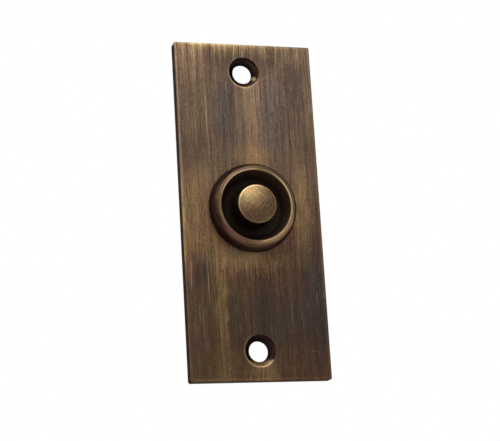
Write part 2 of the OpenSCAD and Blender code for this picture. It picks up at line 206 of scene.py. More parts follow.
def build_place(name):
    """Where a point is, in millimetres: across, in depth, up, and its distance from the push's axis."""
    tree, _, result = new_group(
        name, "ShaderNodeTree", [],
        [
            ("Place", "NodeSocketVector"), ("Flat place", "NodeSocketVector"), ("Across", "NodeSocketFloat"),
            ("Depth", "NodeSocketFloat"), ("Up", "NodeSocketFloat"), ("Radius", "NodeSocketFloat"),
        ],
    )
    where = add_node(tree, "ShaderNodeTexCoord")
    place = add_node(
        tree, "ShaderNodeVectorMath", {0: where.outputs["Object"], "Scale": 1 / MM}, operation="SCALE"
    )
    flat = add_node(tree, "ShaderNodeVectorMath", {0: place, 1: (1.0, 0.0, 1.0)}, operation="MULTIPLY")
    radius = add_node(tree, "ShaderNodeVectorMath", {0: flat}, operation="LENGTH")
    parts = add_node(tree, "ShaderNodeSeparateXYZ", {0: place})
    tree.links.new(place.outputs[0], result.inputs["Place"])
    tree.links.new(flat.outputs[0], result.inputs["Flat place"])
    tree.links.new(parts.outputs["X"], result.inputs["Across"])
    tree.links.new(parts.outputs["Y"], result.inputs["Depth"])
    tree.links.new(parts.outputs["Z"], result.inputs["Up"])
    tree.links.new(radius.outputs["Value"], result.inputs["Radius"])
    return tree


def build_stain(name):
    """An oval stain with a soft edge: 1 in its middle, 0 outside."""
    tree, given, result = new_group(
        name, "ShaderNodeTree",
        [
            ("Place", "NodeSocketVector", None), ("Middle", "NodeSocketVector", None),
            ("Half size", "NodeSocketVector", (1.0, 1.0, 1.0)),
        ],
        [("Amount", "NodeSocketFloat")],
    )
    away = add_node(
        tree, "ShaderNodeVectorMath", {0: given.outputs["Place"], 1: given.outputs["Middle"]}, operation="SUBTRACT"
    )
    shares = add_node(tree, "ShaderNodeVectorMath", {0: away, 1: given.outputs["Half size"]}, operation="DIVIDE")
    reach = add_node(tree, "ShaderNodeVectorMath", {0: shares}, operation="LENGTH")
    amount = add_node(
        tree, "ShaderNodeMapRange",
        {"Value": reach.outputs["Value"], "From Min": 1.35, "From Max": 0.25, "To Min": 0.0, "To Max": 1.0},
        interpolation_type="SMOOTHSTEP",
    )
    tree.links.new(amount.outputs[0], result.inputs["Amount"])
    return tree


def build_brushed(name):
    """Fine lines left by a brush or a mop, drawn out along the third axis, that waver and crinkle a little."""
    tree, given, result = new_group(
        name, "ShaderNodeTree",
        [
            ("Place", "NodeSocketVector", None), ("Line width", "NodeSocketFloat", 0.2),
            ("Line length", "NodeSocketFloat", 8.0),
        ],
        [("Lines", "NodeSocketFloat")],
    )
    drift = add_node(
        tree, "ShaderNodeTexNoise",
        {"Vector": given.outputs["Place"], "Scale": 0.07, "Detail": 5.0, "Roughness": 0.6},
    )
    wavered = add_node(
        tree, "ShaderNodeVectorMath", {0: drift.outputs["Color"], 1: (0.9, 0.9, 0.0), 2: given.outputs["Place"]},
        operation="MULTIPLY_ADD",
    )
    step = add_node(
        tree, "ShaderNodeCombineXYZ",
        {0: given.outputs["Line width"], 1: given.outputs["Line width"], 2: given.outputs["Line length"]},
    )
    drawn = add_node(tree, "ShaderNodeVectorMath", {0: wavered, 1: step}, operation="DIVIDE")
    lines = add_node(
        tree, "ShaderNodeTexNoise", {"Vector": drawn, "Scale": 1.0, "Detail": 1.5, "Roughness": 0.6}
    )
    tree.links.new(lines.outputs[0], result.inputs["Lines"])
    return tree


def build_turned(name):
    """Fine rings left by turning or mopping round an axis that runs in depth."""
    tree, given, result = new_group(
        name, "ShaderNodeTree",
        [
            ("Place", "NodeSocketVector", None), ("Line width", "NodeSocketFloat", 0.2),
            ("Turns to a line", "NodeSocketFloat", 0.2),
        ],
        [("Lines", "NodeSocketFloat")],
    )
    parts = add_node(tree, "ShaderNodeSeparateXYZ", {0: given.outputs["Place"]})
    flat = add_node(
        tree, "ShaderNodeVectorMath", {0: given.outputs["Place"], 1: (1.0, 0.0, 1.0)}, operation="MULTIPLY"
    )
    around = add_node(tree, "ShaderNodeVectorMath", {0: flat}, operation="NORMALIZE")
    radius = add_node(tree, "ShaderNodeVectorMath", {0: flat}, operation="LENGTH")
    run = add_node(
        tree, "ShaderNodeMath", {0: radius.outputs["Value"], 1: parts.outputs["Y"]}, operation="SUBTRACT"
    )
    step = add_node(tree, "ShaderNodeMath", {0: run, 1: given.outputs["Line width"]}, operation="DIVIDE")
    coarse = add_node(
        tree, "ShaderNodeVectorMath", {0: around, "Scale": given.outputs["Turns to a line"]}, operation="SCALE"
    )
    ends = add_node(tree, "ShaderNodeSeparateXYZ", {0: coarse})
    drawn = add_node(tree, "ShaderNodeCombineXYZ", {0: ends.outputs["X"], 1: ends.outputs["Z"], 2: step})
    lines = add_node(
        tree, "ShaderNodeTexNoise", {"Vector": drawn, "Scale": 1.0, "Detail": 2.5, "Roughness": 0.6}
    )
    tree.links.new(lines.outputs[0], result.inputs["Lines"])
    return tree


def start_material(name):
    """A material with a Principled shader and the push's own coordinates."""
    material = bpy.data.materials.new(name)
    material.use_nodes = True
    tree = material.node_tree
    tree.nodes.clear()
    shader = add_node(tree, "ShaderNodeBsdfPrincipled")
    add_node(tree, "ShaderNodeOutputMaterial", {"Surface": shader})
    where = add_node(tree, "ShaderNodeGroup", node_tree=shared_group("Place in millimetres", build_place))
    return material, tree, shader, where


def give_relief(tree, shader, height, depth):
    """Bumps the surface by a height from 0 to 1, depth millimetres high."""
    bump = add_node(tree, "ShaderNodeBump", {"Strength": 1.0, "Distance": depth * MM, "Height": height})
    tree.links.new(bump.outputs[0], shader.inputs["Normal"])


# Finishes


# Stains on the plate's front, the first of them the lighter band along the top edge, partly rubbing and partly a
# painted reflection of the light above: (across, up, half width, half height, lighter or darker, greyer)
PLATE_STAINS_AND_SHEEN = [
    (-3.0, 39.6, 20.0, 4.1, 0.31, -0.4),
    (-12.5, 34.0, 5.0, 4.0, 0.07, -0.1),
    (12.5, 36.0, 5.0, 3.0, 0.09, -0.1),
    (1.2, 19.0, 0.8, 10.5, 0.07, -0.2),
    (1.0, 11.5, 5.0, 3.2, 0.09, -0.3),
    (-4.8, 22.0, 2.8, 9.0, -0.07, 0.5),
    (6.2, 20.5, 3.0, 10.0, -0.06, 0.5),
    (11.0, 29.0, 3.4, 8.0, -0.05, 0.2),
    (-12.5, 13.0, 3.5, 4.0, -0.06, 0.1),
    (-12.5, -1.0, 5.0, 13.0, 0.14, -0.2),
    (14.6, 25.0, 1.6, 9.0, 0.10, -0.1),
    (11.4, 1.0, 2.8, 12.0, 0.15, -0.2),
    (-7.9, -12.5, 2.4, 7.5, 0.13, -0.3),
    (-8.0, -23.0, 1.7, 8.0, 0.13, -0.2),
    (-7.8, -33.0, 2.4, 6.0, 0.06, -0.2),
    (-12.2, -14.0, 2.0, 4.4, -0.08, 0.4),
    (-5.2, -24.0, 1.3, 8.0, -0.05, 0.3),
    (-14.9, -8.0, 1.2, 8.0, 0.07, -0.2),
    (-1.0, -12.0, 8.0, 2.6, 0.14, -0.1),
    (-13.4, -24.0, 2.0, 8.0, 0.01, 0.2),
    (2.0, -24.5, 5.0, 8.5, -0.07, 0.6),
    (9.0, -24.0, 3.0, 9.0, -0.05, 0.5),
    (13.8, -21.0, 3.0, 13.0, -0.09, 0.9),
    (0.6, -36.6, 3.4, 2.2, 0.16, -0.1),
    (-9.0, -37.6, 8.0, 2.0, 0.06, -0.3),
]

# Scratches on the plate's front: (across, up, half width, half height, lighter)
PLATE_SCRATCHES = [
    (-9.3, 21.5, 0.09, 6.0, 0.34),
    (-14.6, 18.0, 0.09, 2.0, 0.20),
    (3.2, 27.0, 0.07, 3.0, 0.14),
    (-10.8, -16.5, 0.08, 6.0, 0.26),
    (-14.5, -13.5, 0.09, 3.0, 0.22),
    (-14.6, -16.5, 0.08, 2.0, 0.26),
    (12.8, 8.0, 0.07, 4.0, 0.18),
    (7.7, -23.6, 0.08, 4.0, 0.20),
    (10.8, 15.0, 0.07, 6.0, 0.16),
    (-12.4, -24.0, 0.07, 3.5, 0.16),
    (3.6, -14.0, 0.08, 5.0, 0.14),
    (12.2, -31.8, 1.1, 0.16, 0.14),
    (13.3, -32.5, 0.14, 0.8, 0.14),
]


# Rubbing along the bezel's crest all round, then painted highlights where the light from the upper left catches it, at
# the upper left, the lower right and low down, and painted shade on its outer wall at the left: (across, up, reach,
# radius of its crest, half width, lighter or darker)
BEZEL_WEAR_AND_SHEEN = [
    (0.0, 0.0, 12.0, 8.25, 0.6, 0.12),
    (-4.6, 7.2, 7.4, 8.02, 0.30, 0.85),
    (5.2, -6.4, 6.0, 8.6, 0.9, 0.34),
    (-8.8, -3.0, 6.5, 9.4, 1.5, -0.14),
    (-5.0, 8.4, 6.0, 9.3, 1.1, -0.16),
    (2.0, -10.0, 7.0, 9.7, 0.9, 0.14),
    (-6.4, -6.6, 4.6, 8.9, 1.0, 0.16),
    (7.2, 3.2, 6.4, 8.1, 0.26, 0.6),
]


def brass_tones(tree, tone, tint):
    """The colours that one brass goes through, from untouched oxide at 0 to bare metal at 1."""
    tones = add_node(tree, "ShaderNodeValToRGB", {"Fac": tone})
    elements = tones.color_ramp.elements
    elements[0].color = tint.oxide_dark
    elements[1].color = tint.bare_and_lit_gold
    for at, shade in ((0.25, tint.oxide_brown), (0.5, tint.worn_brown), (0.75, tint.worn_tan)):
        elements.new(at).color = shade
    return tones


def aged_brass_plate():
    """Cast yellow brass, brushed lengthways, browned with antique oxide and rubbed back by hand: dark purple-brown
    where it was left, tan streaks where it was rubbed, near black in the well and the countersinks, with painted shade
    on the sides, the lower end and the bezel's foot and painted highlights on the bezel and in the countersinks."""
    tint = colours()
    material, tree, shader, where = start_material("cast_brass_antiqued")
    place = where.outputs["Place"]
    flat = where.outputs["Flat place"]
    depth = where.outputs["Depth"]
    brushed = shared_group("Brushed lines", build_brushed)
    turned = shared_group("Turned lines", build_turned)
    stain = shared_group("Stain", build_stain)

    # Long fine brush lines over broader streaks, all running up the plate, a few hair scratches, specks, and
    # rings on the bezel. A real mop leaves lines of 0.03 mm: they are drawn three times as wide to show at all
    fine = add_node(
        tree, "ShaderNodeGroup", {"Place": place, "Line width": 0.1, "Line length": 11.0}, node_tree=brushed
    )
    broad = add_node(
        tree, "ShaderNodeGroup", {"Place": place, "Line width": 0.55, "Line length": 26.0}, node_tree=brushed
    )
    hairs = add_node(
        tree, "ShaderNodeGroup", {"Place": place, "Line width": 0.11, "Line length": 4.5}, node_tree=brushed
    )
    grit = add_node(
        tree, "ShaderNodeTexNoise", {"Vector": place, "Scale": 5.5, "Detail": 1.5, "Roughness": 0.7}
    )
    rings = add_node(
        tree, "ShaderNodeGroup", {"Place": place, "Line width": 0.13, "Turns to a line": 1.8}, node_tree=turned
    )

    # The stains' outlines wander, and are drawn out along the lines
    cloud = add_node(tree, "ShaderNodeTexNoise", {"Vector": flat, "Scale": 0.25, "Detail": 4.0})
    wandered = add_node(
        tree, "ShaderNodeVectorMath", {0: cloud.outputs["Color"], 1: (3.4, 0.0, 5.0), 2: flat},
        operation="MULTIPLY_ADD",
    )
    pull = add_node(tree, "ShaderNodeMath", {0: broad, 1: fine}, operation="ADD")
    pull = add_node(tree, "ShaderNodeMath", {0: pull, 1: 5.2, 2: -7.7}, operation="MULTIPLY_ADD")
    shift = add_node(tree, "ShaderNodeCombineXYZ", {"X": -1.7, "Z": pull})
    drawn_out = add_node(tree, "ShaderNodeVectorMath", {0: wandered, 1: shift}, operation="ADD")

    # Tone of the front: 0 is untouched oxide, 1 is bare brass. It runs darker towards the lower end, partly oxide left
    # thicker there and partly painted shade, with the top lighter as a painted reflection of the light above
    tone = add_node(
        tree, "ShaderNodeMapRange",
        {"Value": where.outputs["Up"], "From Min": -30.0, "From Max": 6.0, "To Min": 0.25, "To Max": 0.355},
    )
    grey = add_node(
        tree, "ShaderNodeMapRange",
        {"Value": where.outputs["Up"], "From Min": -15.0, "From Max": 20.0, "To Min": 0.1, "To Max": 0.45},
    )
    for across, up, half_width, half_height, lighter, greyer in PLATE_STAINS_AND_SHEEN:
        mark = add_node(
            tree, "ShaderNodeGroup",
            {"Place": drawn_out, "Middle": (across, 0.0, up), "Half size": (half_width, 1.0, half_height)},
            node_tree=stain,
        )
        tone = add_node(tree, "ShaderNodeMath", {0: mark, 1: lighter, 2: tone}, operation="MULTIPLY_ADD")
        grey = add_node(tree, "ShaderNodeMath", {0: mark, 1: greyer, 2: grey}, operation="MULTIPLY_ADD")
    for across, up, half_width, half_height, lighter in PLATE_SCRATCHES:
        mark = add_node(
            tree, "ShaderNodeGroup",
            {"Place": flat, "Middle": (across, 0.0, up), "Half size": (half_width, 1.0, half_height)},
            node_tree=stain,
        )
        tone = add_node(tree, "ShaderNodeMath", {0: mark, 1: lighter, 2: tone}, operation="MULTIPLY_ADD")

    # The lines show most where the oxide is rubbed thin, least in the dark stains
    lines = add_node(tree, "ShaderNodeMath", {0: fine, 1: 0.42, 2: -0.59}, operation="MULTIPLY_ADD")
    lines = add_node(tree, "ShaderNodeMath", {0: broad, 1: 0.24, 2: lines}, operation="MULTIPLY_ADD")
    lines = add_node(tree, "ShaderNodeMath", {0: grit, 1: 0.5, 2: lines}, operation="MULTIPLY_ADD")
    strength = add_node(
        tree, "ShaderNodeMapRange", {"Value": tone, "From Min": 0.24, "From Max": 0.46, "To Min": 0.75, "To Max": 1.4}
    )
    tone = add_node(tree, "ShaderNodeMath", {0: lines, 1: strength, 2: tone}, operation="MULTIPLY_ADD")

    # A few hair scratches go through to bare brass
    cut = add_node(
        tree, "ShaderNodeMapRange",
        {"Value": hairs, "From Min": 0.66, "From Max": 0.76, "To Min": 0.0, "To Max": 0.32},
    )
    tone = add_node(tree, "ShaderNodeMath", {0: tone, 1: cut}, operation="ADD")

    # Rubbed edges, and the sides painted dark towards the wall as painted shade
    offcut = add_node(tree, "ShaderNodeVectorMath", {0: flat}, operation="ABSOLUTE")
    from_edge = add_node(
        tree, "ShaderNodeVectorMath", {0: offcut, 1: (15.875, 0.0, 38.1)}, operation="SUBTRACT"
    )
    edge_parts = add_node(tree, "ShaderNodeSeparateXYZ", {0: from_edge})
    nearest = add_node(
        tree, "ShaderNodeMath", {0: edge_parts.outputs["X"], 1: edge_parts.outputs["Z"]}, operation="MAXIMUM"
    )
    rubbed_edge = add_node(
        tree, "ShaderNodeMapRange",
        {"Value": nearest, "From Min": -0.8, "From Max": -0.4, "To Min": 0.0, "To Max": 0.16},
        interpolation_type="SMOOTHSTEP",
    )
    patchy_edge = add_node(tree, "ShaderNodeMath", {0: rubbed_edge, 1: cloud}, operation="MULTIPLY")
    tone = add_node(tree, "ShaderNodeMath", {0: tone, 1: patchy_edge}, operation="ADD")
    side = add_node(
        tree, "ShaderNodeMapRange",
        {"Value": nearest, "From Min": -0.24, "From Max": -0.06, "To Min": 0.0, "To Max": 1.0},
        interpolation_type="SMOOTHSTEP",
    )
    towards_wall = add_node(
        tree, "ShaderNodeMapRange", {"Value": depth, "From Min": -2.2, "From Max": -1.5, "To Min": 0.0, "To Max": 1.0},
        interpolation_type="SMOOTHSTEP",
    )
    side = add_node(tree, "ShaderNodeMath", {0: side, 1: towards_wall}, operation="MULTIPLY")
    # Painted shade: the sides take a dark tone of their own
    side_shade_tone = add_node(tree, "ShaderNodeMath", {0: fine, 1: 0.4, 2: 0.12}, operation="MULTIPLY_ADD")
    tone = add_node(tree, "ShaderNodeMix", {"Factor": side, "A": tone, "B": side_shade_tone}, data_type="FLOAT")

    # A tan lip round each countersink, a painted highlight strongest at the lower left, where the lip catches the light
    hole_place = add_node(tree, "ShaderNodeVectorMath", {0: offcut, 1: (0.0, 0.0, 31.5)}, operation="SUBTRACT")
    from_hole = add_node(tree, "ShaderNodeVectorMath", {0: hole_place}, operation="LENGTH")
    which = add_node(tree, "ShaderNodeMath", {0: where.outputs["Up"]}, operation="SIGN")
    hole_up = add_node(tree, "ShaderNodeMath", {0: which, 1: -31.5, 2: where.outputs["Up"]}, operation="MULTIPLY_ADD")
    across = add_node(tree, "ShaderNodeSeparateXYZ", {0: flat})
    low_left = add_node(tree, "ShaderNodeMath", {0: across.outputs["X"], 1: hole_up}, operation="ADD")
    lip_highlight_reach = add_node(
        tree, "ShaderNodeMapRange", {"Value": low_left, "From Min": 2.5, "From Max": -4.0, "To Min": 0.06, "To Max": 0.5}
    )
    lip = add_node(
        tree, "ShaderNodeMapRange",
        {"Value": from_hole.outputs["Value"], "From Min": 4.0, "From Max": 3.55, "To Min": 0.0, "To Max": lip_highlight_reach},
        interpolation_type="SMOOTHSTEP",
    )
    patchy_lip_highlight = add_node(tree, "ShaderNodeMath", {0: lip, 1: cloud}, operation="MULTIPLY")
    tone = add_node(tree, "ShaderNodeMath", {0: tone, 1: patchy_lip_highlight}, operation="ADD")

    # The bezel: dark at its foot and lighter towards its crest, partly oxide and partly painted shade, rubbed along its
    # crest, with painted highlights at the upper left and at the lower right
    on_bezel = add_node(
        tree, "ShaderNodeMapRange", {"Value": depth, "From Min": -2.52, "From Max": -2.72, "To Min": 0.0, "To Max": 1.0}
    )
    foot_shade_climb = add_node(
        tree, "ShaderNodeMapRange", {"Value": depth, "From Min": -2.8, "From Max": -5.9, "To Min": 0.04, "To Max": 0.33}
    )
    bezel_tone = add_node(tree, "ShaderNodeMath", {0: rings, 1: 0.85, 2: foot_shade_climb}, operation="MULTIPLY_ADD")
    bezel_tone = add_node(tree, "ShaderNodeMath", {0: grit, 1: 0.3, 2: bezel_tone}, operation="MULTIPLY_ADD")
    bezel_tone = add_node(tree, "ShaderNodeMath", {0: bezel_tone, 1: 0.59}, operation="SUBTRACT")
    for across, up, reach, crest_r, crest_width, lighter in BEZEL_WEAR_AND_SHEEN:
        mark = add_node(
            tree, "ShaderNodeGroup",
            {"Place": flat, "Middle": (across, 0.0, up), "Half size": (reach, 1.0, reach)}, node_tree=stain,
        )
        from_crest = add_node(tree, "ShaderNodeMath", {0: where.outputs["Radius"], 1: crest_r}, operation="SUBTRACT")
        from_crest = add_node(tree, "ShaderNodeMath", {0: from_crest}, operation="ABSOLUTE")
        on_crest = add_node(
            tree, "ShaderNodeMapRange",
            {"Value": from_crest, "From Min": crest_width, "From Max": 0.0, "To Min": 0.0, "To Max": lighter},
            interpolation_type="SMOOTHSTEP",
        )
        bezel_tone = add_node(
            tree, "ShaderNodeMath", {0: mark, 1: on_crest, 2: bezel_tone}, operation="MULTIPLY_ADD"
        )
    tone = add_node(tree, "ShaderNodeMix", {"Factor": on_bezel, "A": tone, "B": bezel_tone}, data_type="FLOAT")
    # A thin dark ring round the bezel's foot, partly dirt and partly painted contact shade
    foot = add_node(
        tree, "ShaderNodeMapRange",
        {"Value": where.outputs["Radius"], "From Min": 10.15, "From Max": 9.95, "To Min": 0.0, "To Max": 0.12},
        interpolation_type="SMOOTHSTEP",
    )
    above_foot = add_node(
        tree, "ShaderNodeMapRange", {"Value": depth, "From Min": -3.2, "From Max": -2.6, "To Min": 0.0, "To Max": 1.0}
    )
    foot_dirt_and_shade = add_node(tree, "ShaderNodeMath", {0: foot, 1: above_foot}, operation="MULTIPLY")
    tone = add_node(tree, "ShaderNodeMath", {0: tone, 1: foot_dirt_and_shade}, operation="SUBTRACT")

    # Thick oxide greys the brown and turns it towards purple, and rubbed brass is yellower
    brown = brass_tones(tree, tone, tint)
    keep = add_node(
        tree, "ShaderNodeMapRange", {"Value": grey, "From Min": 0.0, "From Max": 1.0, "To Min": 1.0, "To Max": 0.55}
    )
    warm = add_node(
        tree, "ShaderNodeTexNoise", {"Vector": drawn_out, "Scale": 0.16, "Detail": 3.0, "Roughness": 0.6}
    )
    hue = add_node(
        tree, "ShaderNodeMapRange", {"Value": warm, "From Min": 0.35, "From Max": 0.65, "To Min": 0.474, "To Max": 0.498}
    )
    yellower = add_node(
        tree, "ShaderNodeMapRange", {"Value": tone, "From Min": 0.15, "From Max": 0.45, "To Min": 0.0, "To Max": 0.013}
    )
    hue = add_node(tree, "ShaderNodeMath", {0: hue, 1: yellower}, operation="ADD")
    olive = add_node(
        tree, "ShaderNodeGroup", {"Place": drawn_out, "Middle": (-9.0, 0.0, -27.0), "Half size": (8.5, 1.0, 16.0)},
        node_tree=stain,
    )
    hue = add_node(tree, "ShaderNodeMath", {0: olive, 1: 0.009, 2: hue}, operation="MULTIPLY_ADD")
    blush = add_node(
        tree, "ShaderNodeGroup", {"Place": flat, "Middle": (-6.0, 0.0, -7.0), "Half size": (7.0, 1.0, 5.0)},
        node_tree=stain,
    )
    blush = add_node(tree, "ShaderNodeMath", {0: blush, 1: on_bezel}, operation="MULTIPLY")
    redder = add_node(tree, "ShaderNodeMath", {0: blush, 1: -0.022, 2: hue}, operation="MULTIPLY_ADD")
    keep = add_node(tree, "ShaderNodeMath", {0: on_bezel, 1: 0.03, 2: keep}, operation="MULTIPLY_ADD")
    brass = add_node(tree, "ShaderNodeHueSaturation", {"Hue": redder, "Saturation": keep, "Color": brown})

    # The well and the bore, near black grime, with a brown cast towards the lip that is painted light on the well's
    # upper wall
    in_well = add_node(
        tree, "ShaderNodeMapRange",
        {"Value": where.outputs["Radius"], "From Min": 8.2, "From Max": 7.7, "To Min": 0.0, "To Max": 1.0},
        interpolation_type="SMOOTHSTEP",
    )
    lit_near_lip = add_node(
        tree, "ShaderNodeMapRange", {"Value": depth, "From Min": -2.3, "From Max": -4.4, "To Min": 0.0, "To Max": 0.85},
        interpolation_type="SMOOTHSTEP",
    )
    well_grime_and_light = add_node(
        tree, "ShaderNodeMix", {"Factor": lit_near_lip, "A": tint.oxide_black, "B": tint.oxide_brown}, data_type="RGBA"
    )
    welled = add_node(tree, "ShaderNodeMix", {"Factor": in_well, "A": brass, "B": well_grime_and_light}, data_type="RGBA")

    # The countersinks, behind the front face: the lower wall, which faces up to the light, is painted tan as painted
    # light, more in the lower one, and a painted glint of bare brass shows at one spot in the upper one
    near_hole = add_node(
        tree, "ShaderNodeMapRange",
        {"Value": from_hole.outputs["Value"], "From Min": 3.60, "From Max": 3.40, "To Min": 0.0, "To Max": 1.0},
    )
    most = add_node(tree, "ShaderNodeMath", {0: which, 1: -0.2, 2: 0.42}, operation="MULTIPLY_ADD")
    lit_lower_wall = add_node(
        tree, "ShaderNodeMapRange",
        {"Value": hole_up, "From Min": -1.6, "From Max": -2.9, "To Min": 0.0, "To Max": most},
        interpolation_type="SMOOTHSTEP",
    )
    painted_glint = add_node(
        tree, "ShaderNodeGroup", {"Place": flat, "Middle": (2.35, 0.0, 30.2), "Half size": (0.5, 1.0, 0.65)},
        node_tree=stain,
    )
    painted_wall_light = add_node(tree, "ShaderNodeMath", {0: lit_lower_wall, 1: painted_glint}, operation="MAXIMUM")
    drilled = add_node(
        tree, "ShaderNodeGroup", {"Place": hole_place, "Line width": 0.14, "Turns to a line": 0.8}, node_tree=turned
    )
    ridge = add_node(
        tree, "ShaderNodeMapRange", {"Value": drilled, "From Min": 0.5, "From Max": 0.66, "To Min": 0.0, "To Max": 0.8}
    )
    tinted = add_node(
        tree, "ShaderNodeMix", {"Factor": ridge, "A": tint.hole_purple, "B": tint.oxide_brown}, data_type="RGBA"
    )
    wall = add_node(tree, "ShaderNodeMix", {"Factor": painted_wall_light, "A": tinted, "B": tint.bare_and_lit_gold}, data_type="RGBA")
    holed = add_node(
        tree, "ShaderNodeMix", {"Factor": near_hole, "A": welled, "B": wall}, data_type="RGBA"
    )

    # The back is ground flat on a coarse belt, aslant, and only lightly browned
    skin = add_node(tree, "ShaderNodeTexNoise", {"Vector": place, "Scale": 0.08, "Detail": 4.0, "Roughness": 0.5})
    filed = add_node(tree, "ShaderNodeVectorRotate", {"Vector": place, "Angle": 0.35}, rotation_type="Y_AXIS")
    filed = add_node(
        tree, "ShaderNodeGroup", {"Place": filed, "Line width": 0.16, "Line length": 30.0}, node_tree=brushed
    )
    skinned = add_node(tree, "ShaderNodeMath", {0: filed, 1: 0.5, 2: skin}, operation="MULTIPLY_ADD")
    dull_tone = add_node(
        tree, "ShaderNodeMapRange", {"Value": skinned, "From Min": 0.5, "From Max": 1.0, "To Min": 0.46, "To Max": 0.78}
    )
    dulled = brass_tones(tree, dull_tone, tint)
    behind = add_node(
        tree, "ShaderNodeMapRange", {"Value": depth, "From Min": -0.12, "From Max": -0.02, "To Min": 0.0, "To Max": 1.0}
    )
    finish = add_node(tree, "ShaderNodeMix", {"Factor": behind, "A": holed, "B": dulled}, data_type="RGBA")
    tree.links.new(next(s for s in finish.outputs if s.enabled), shader.inputs["Base Color"])

    # Rubbed brass is brighter and smoother than the oxide
    metal = add_node(
        tree, "ShaderNodeMapRange", {"Value": tone, "From Min": 0.0, "From Max": 0.8, "To Min": 0.86, "To Max": 1.0}
    )
    waxed = add_node(tree, "ShaderNodeMath", {0: on_bezel, 1: -0.3, 2: metal}, operation="MULTIPLY_ADD")
    grimy = add_node(tree, "ShaderNodeMath", {0: in_well, 1: -0.5, 2: waxed}, operation="MULTIPLY_ADD")
    tree.links.new(grimy.outputs[0], shader.inputs["Metallic"])
    smooth = add_node(
        tree, "ShaderNodeMapRange", {"Value": tone, "From Min": 0.0, "From Max": 0.9, "To Min": 0.42, "To Max": 0.24}
    )
    tree.links.new(smooth.outputs[0], shader.inputs["Roughness"])
    shader.inputs["Specular IOR Level"].default_value = 0.15
    shader.inputs["Specular Tint"].default_value = linear("#5a4a3c")

    # Relief: lines about 0.01 mm deep, and a few pits
    pits = add_node(tree, "ShaderNodeTexVoronoi", {"Vector": place, "Scale": 0.55})
    pit = add_node(
        tree, "ShaderNodeMapRange",
        {"Value": pits.outputs["Distance"], "From Min": 0.03, "From Max": 0.10, "To Min": -1.2, "To Max": 0.0},
    )
    grooves = add_node(tree, "ShaderNodeMix", {"Factor": on_bezel, "A": fine, "B": rings}, data_type="FLOAT")
    scored = add_node(tree, "ShaderNodeMath", {0: filed, 1: 3.0}, operation="MULTIPLY")
    grained = add_node(tree, "ShaderNodeMix", {"Factor": behind, "A": grooves, "B": scored}, data_type="FLOAT")
    height = add_node(tree, "ShaderNodeMath", {0: grained, 1: pit}, operation="ADD")
    give_relief(tree, shader, height, 0.01)
    return material


def aged_brass_button():
    """Turned brass, hand-brushed both ways, with a painted highlight at the upper left of its dome and painted shade
    down its side, plain turned brass where it runs behind the plate."""
    tint = colours()
    material, tree, shader, where = start_material("turned_brass_antiqued")
    place = where.outputs["Place"]
    depth = where.outputs["Depth"]
    brushed = shared_group("Brushed lines", build_brushed)
    turned = shared_group("Turned lines", build_turned)

    # Two sets of brush marks cross on the dome
    marks = []
    for lean, width in ((0.95, 0.075), (-0.75, 0.09)):
        turned_place = add_node(
            tree, "ShaderNodeVectorRotate", {"Vector": place, "Angle": lean}, rotation_type="Y_AXIS"
        )
        marks.append(add_node(
            tree, "ShaderNodeGroup", {"Place": turned_place, "Line width": width, "Line length": 3.0},
            node_tree=brushed,
        ))
    hatch = add_node(tree, "ShaderNodeMath", {0: marks[0], 1: marks[1]}, operation="ADD")
    rings = add_node(
        tree, "ShaderNodeGroup", {"Place": place, "Line width": 0.2, "Turns to a line": 2.0}, node_tree=turned
    )
    # A painted highlight at the upper left of the dome
    bloom = add_node(
        tree, "ShaderNodeGroup",
        {"Place": where.outputs["Flat place"], "Middle": (-2.0, 0.0, 3.0), "Half size": (4.6, 1.0, 4.2)},
        node_tree=shared_group("Stain", build_stain),
    )
    tone = add_node(tree, "ShaderNodeMath", {0: bloom, 1: 0.35, 2: -0.40}, operation="MULTIPLY_ADD")
    tone = add_node(tree, "ShaderNodeMath", {0: hatch, 1: 0.7, 2: tone}, operation="MULTIPLY_ADD")

    # A thin painted highlight round the rim, then painted shade down the side
    rim = add_node(tree, "ShaderNodeMath", {0: where.outputs["Radius"], 1: 4.16, 2: 0.11}, operation="COMPARE")
    tone = add_node(tree, "ShaderNodeMath", {0: rim, 1: 0.2, 2: tone}, operation="MULTIPLY_ADD")
    side = add_node(
        tree, "ShaderNodeMapRange",
        {"Value": depth, "From Min": -6.6, "From Max": -5.6, "To Min": 0.0, "To Max": 0.5},
        interpolation_type="SMOOTHSTEP",
    )
    tone = add_node(tree, "ShaderNodeMath", {0: tone, 1: side}, operation="SUBTRACT")
    brass = brass_tones(tree, tone, tint)

    # Olive where the oxide is thin at the left, redder where thumbs have left it at the lower left
    hue = 0.503
    for across, up, reach, shift in ((-3.2, 0.8, 2.6, 0.012), (-1.6, -3.2, 2.4, -0.016)):
        mark = add_node(
            tree, "ShaderNodeGroup",
            {"Place": where.outputs["Flat place"], "Middle": (across, 0.0, up), "Half size": (reach, 1.0, reach)},
            node_tree=shared_group("Stain", build_stain),
        )
        hue = add_node(tree, "ShaderNodeMath", {0: mark, 1: shift, 2: hue}, operation="MULTIPLY_ADD")
    brass = add_node(tree, "ShaderNodeHueSaturation", {"Hue": hue, "Saturation": 0.97, "Color": brass})
    inside = add_node(
        tree, "ShaderNodeMapRange", {"Value": depth, "From Min": -2.2, "From Max": -1.2, "To Min": 0.0, "To Max": 1.0}
    )
    finish = add_node(
        tree, "ShaderNodeMix", {"Factor": inside, "A": brass, "B": tint.turned_brass}, data_type="RGBA"
    )
    tree.links.new(next(s for s in finish.outputs if s.enabled), shader.inputs["Base Color"])
    smooth = add_node(
        tree, "ShaderNodeMapRange", {"Value": tone, "From Min": 0.0, "From Max": 0.9, "To Min": 0.42, "To Max": 0.3}
    )
    tree.links.new(smooth.outputs[0], shader.inputs["Roughness"])
    metal = add_node(tree, "ShaderNodeMath", {0: side, 1: -1.0, 2: 1.0}, operation="MULTIPLY_ADD")
    metal = add_node(tree, "ShaderNodeMath", {0: metal, 1: inside}, operation="MAXIMUM")
    tree.links.new(metal.outputs[0], shader.inputs["Metallic"])
    shader.inputs["Specular Tint"].default_value = linear("#8a7660")
    height = add_node(tree, "ShaderNodeMix", {"Factor": side, "A": hatch, "B": rings}, data_type="FLOAT")
    give_relief(tree, shader, height, 0.012)
    return material


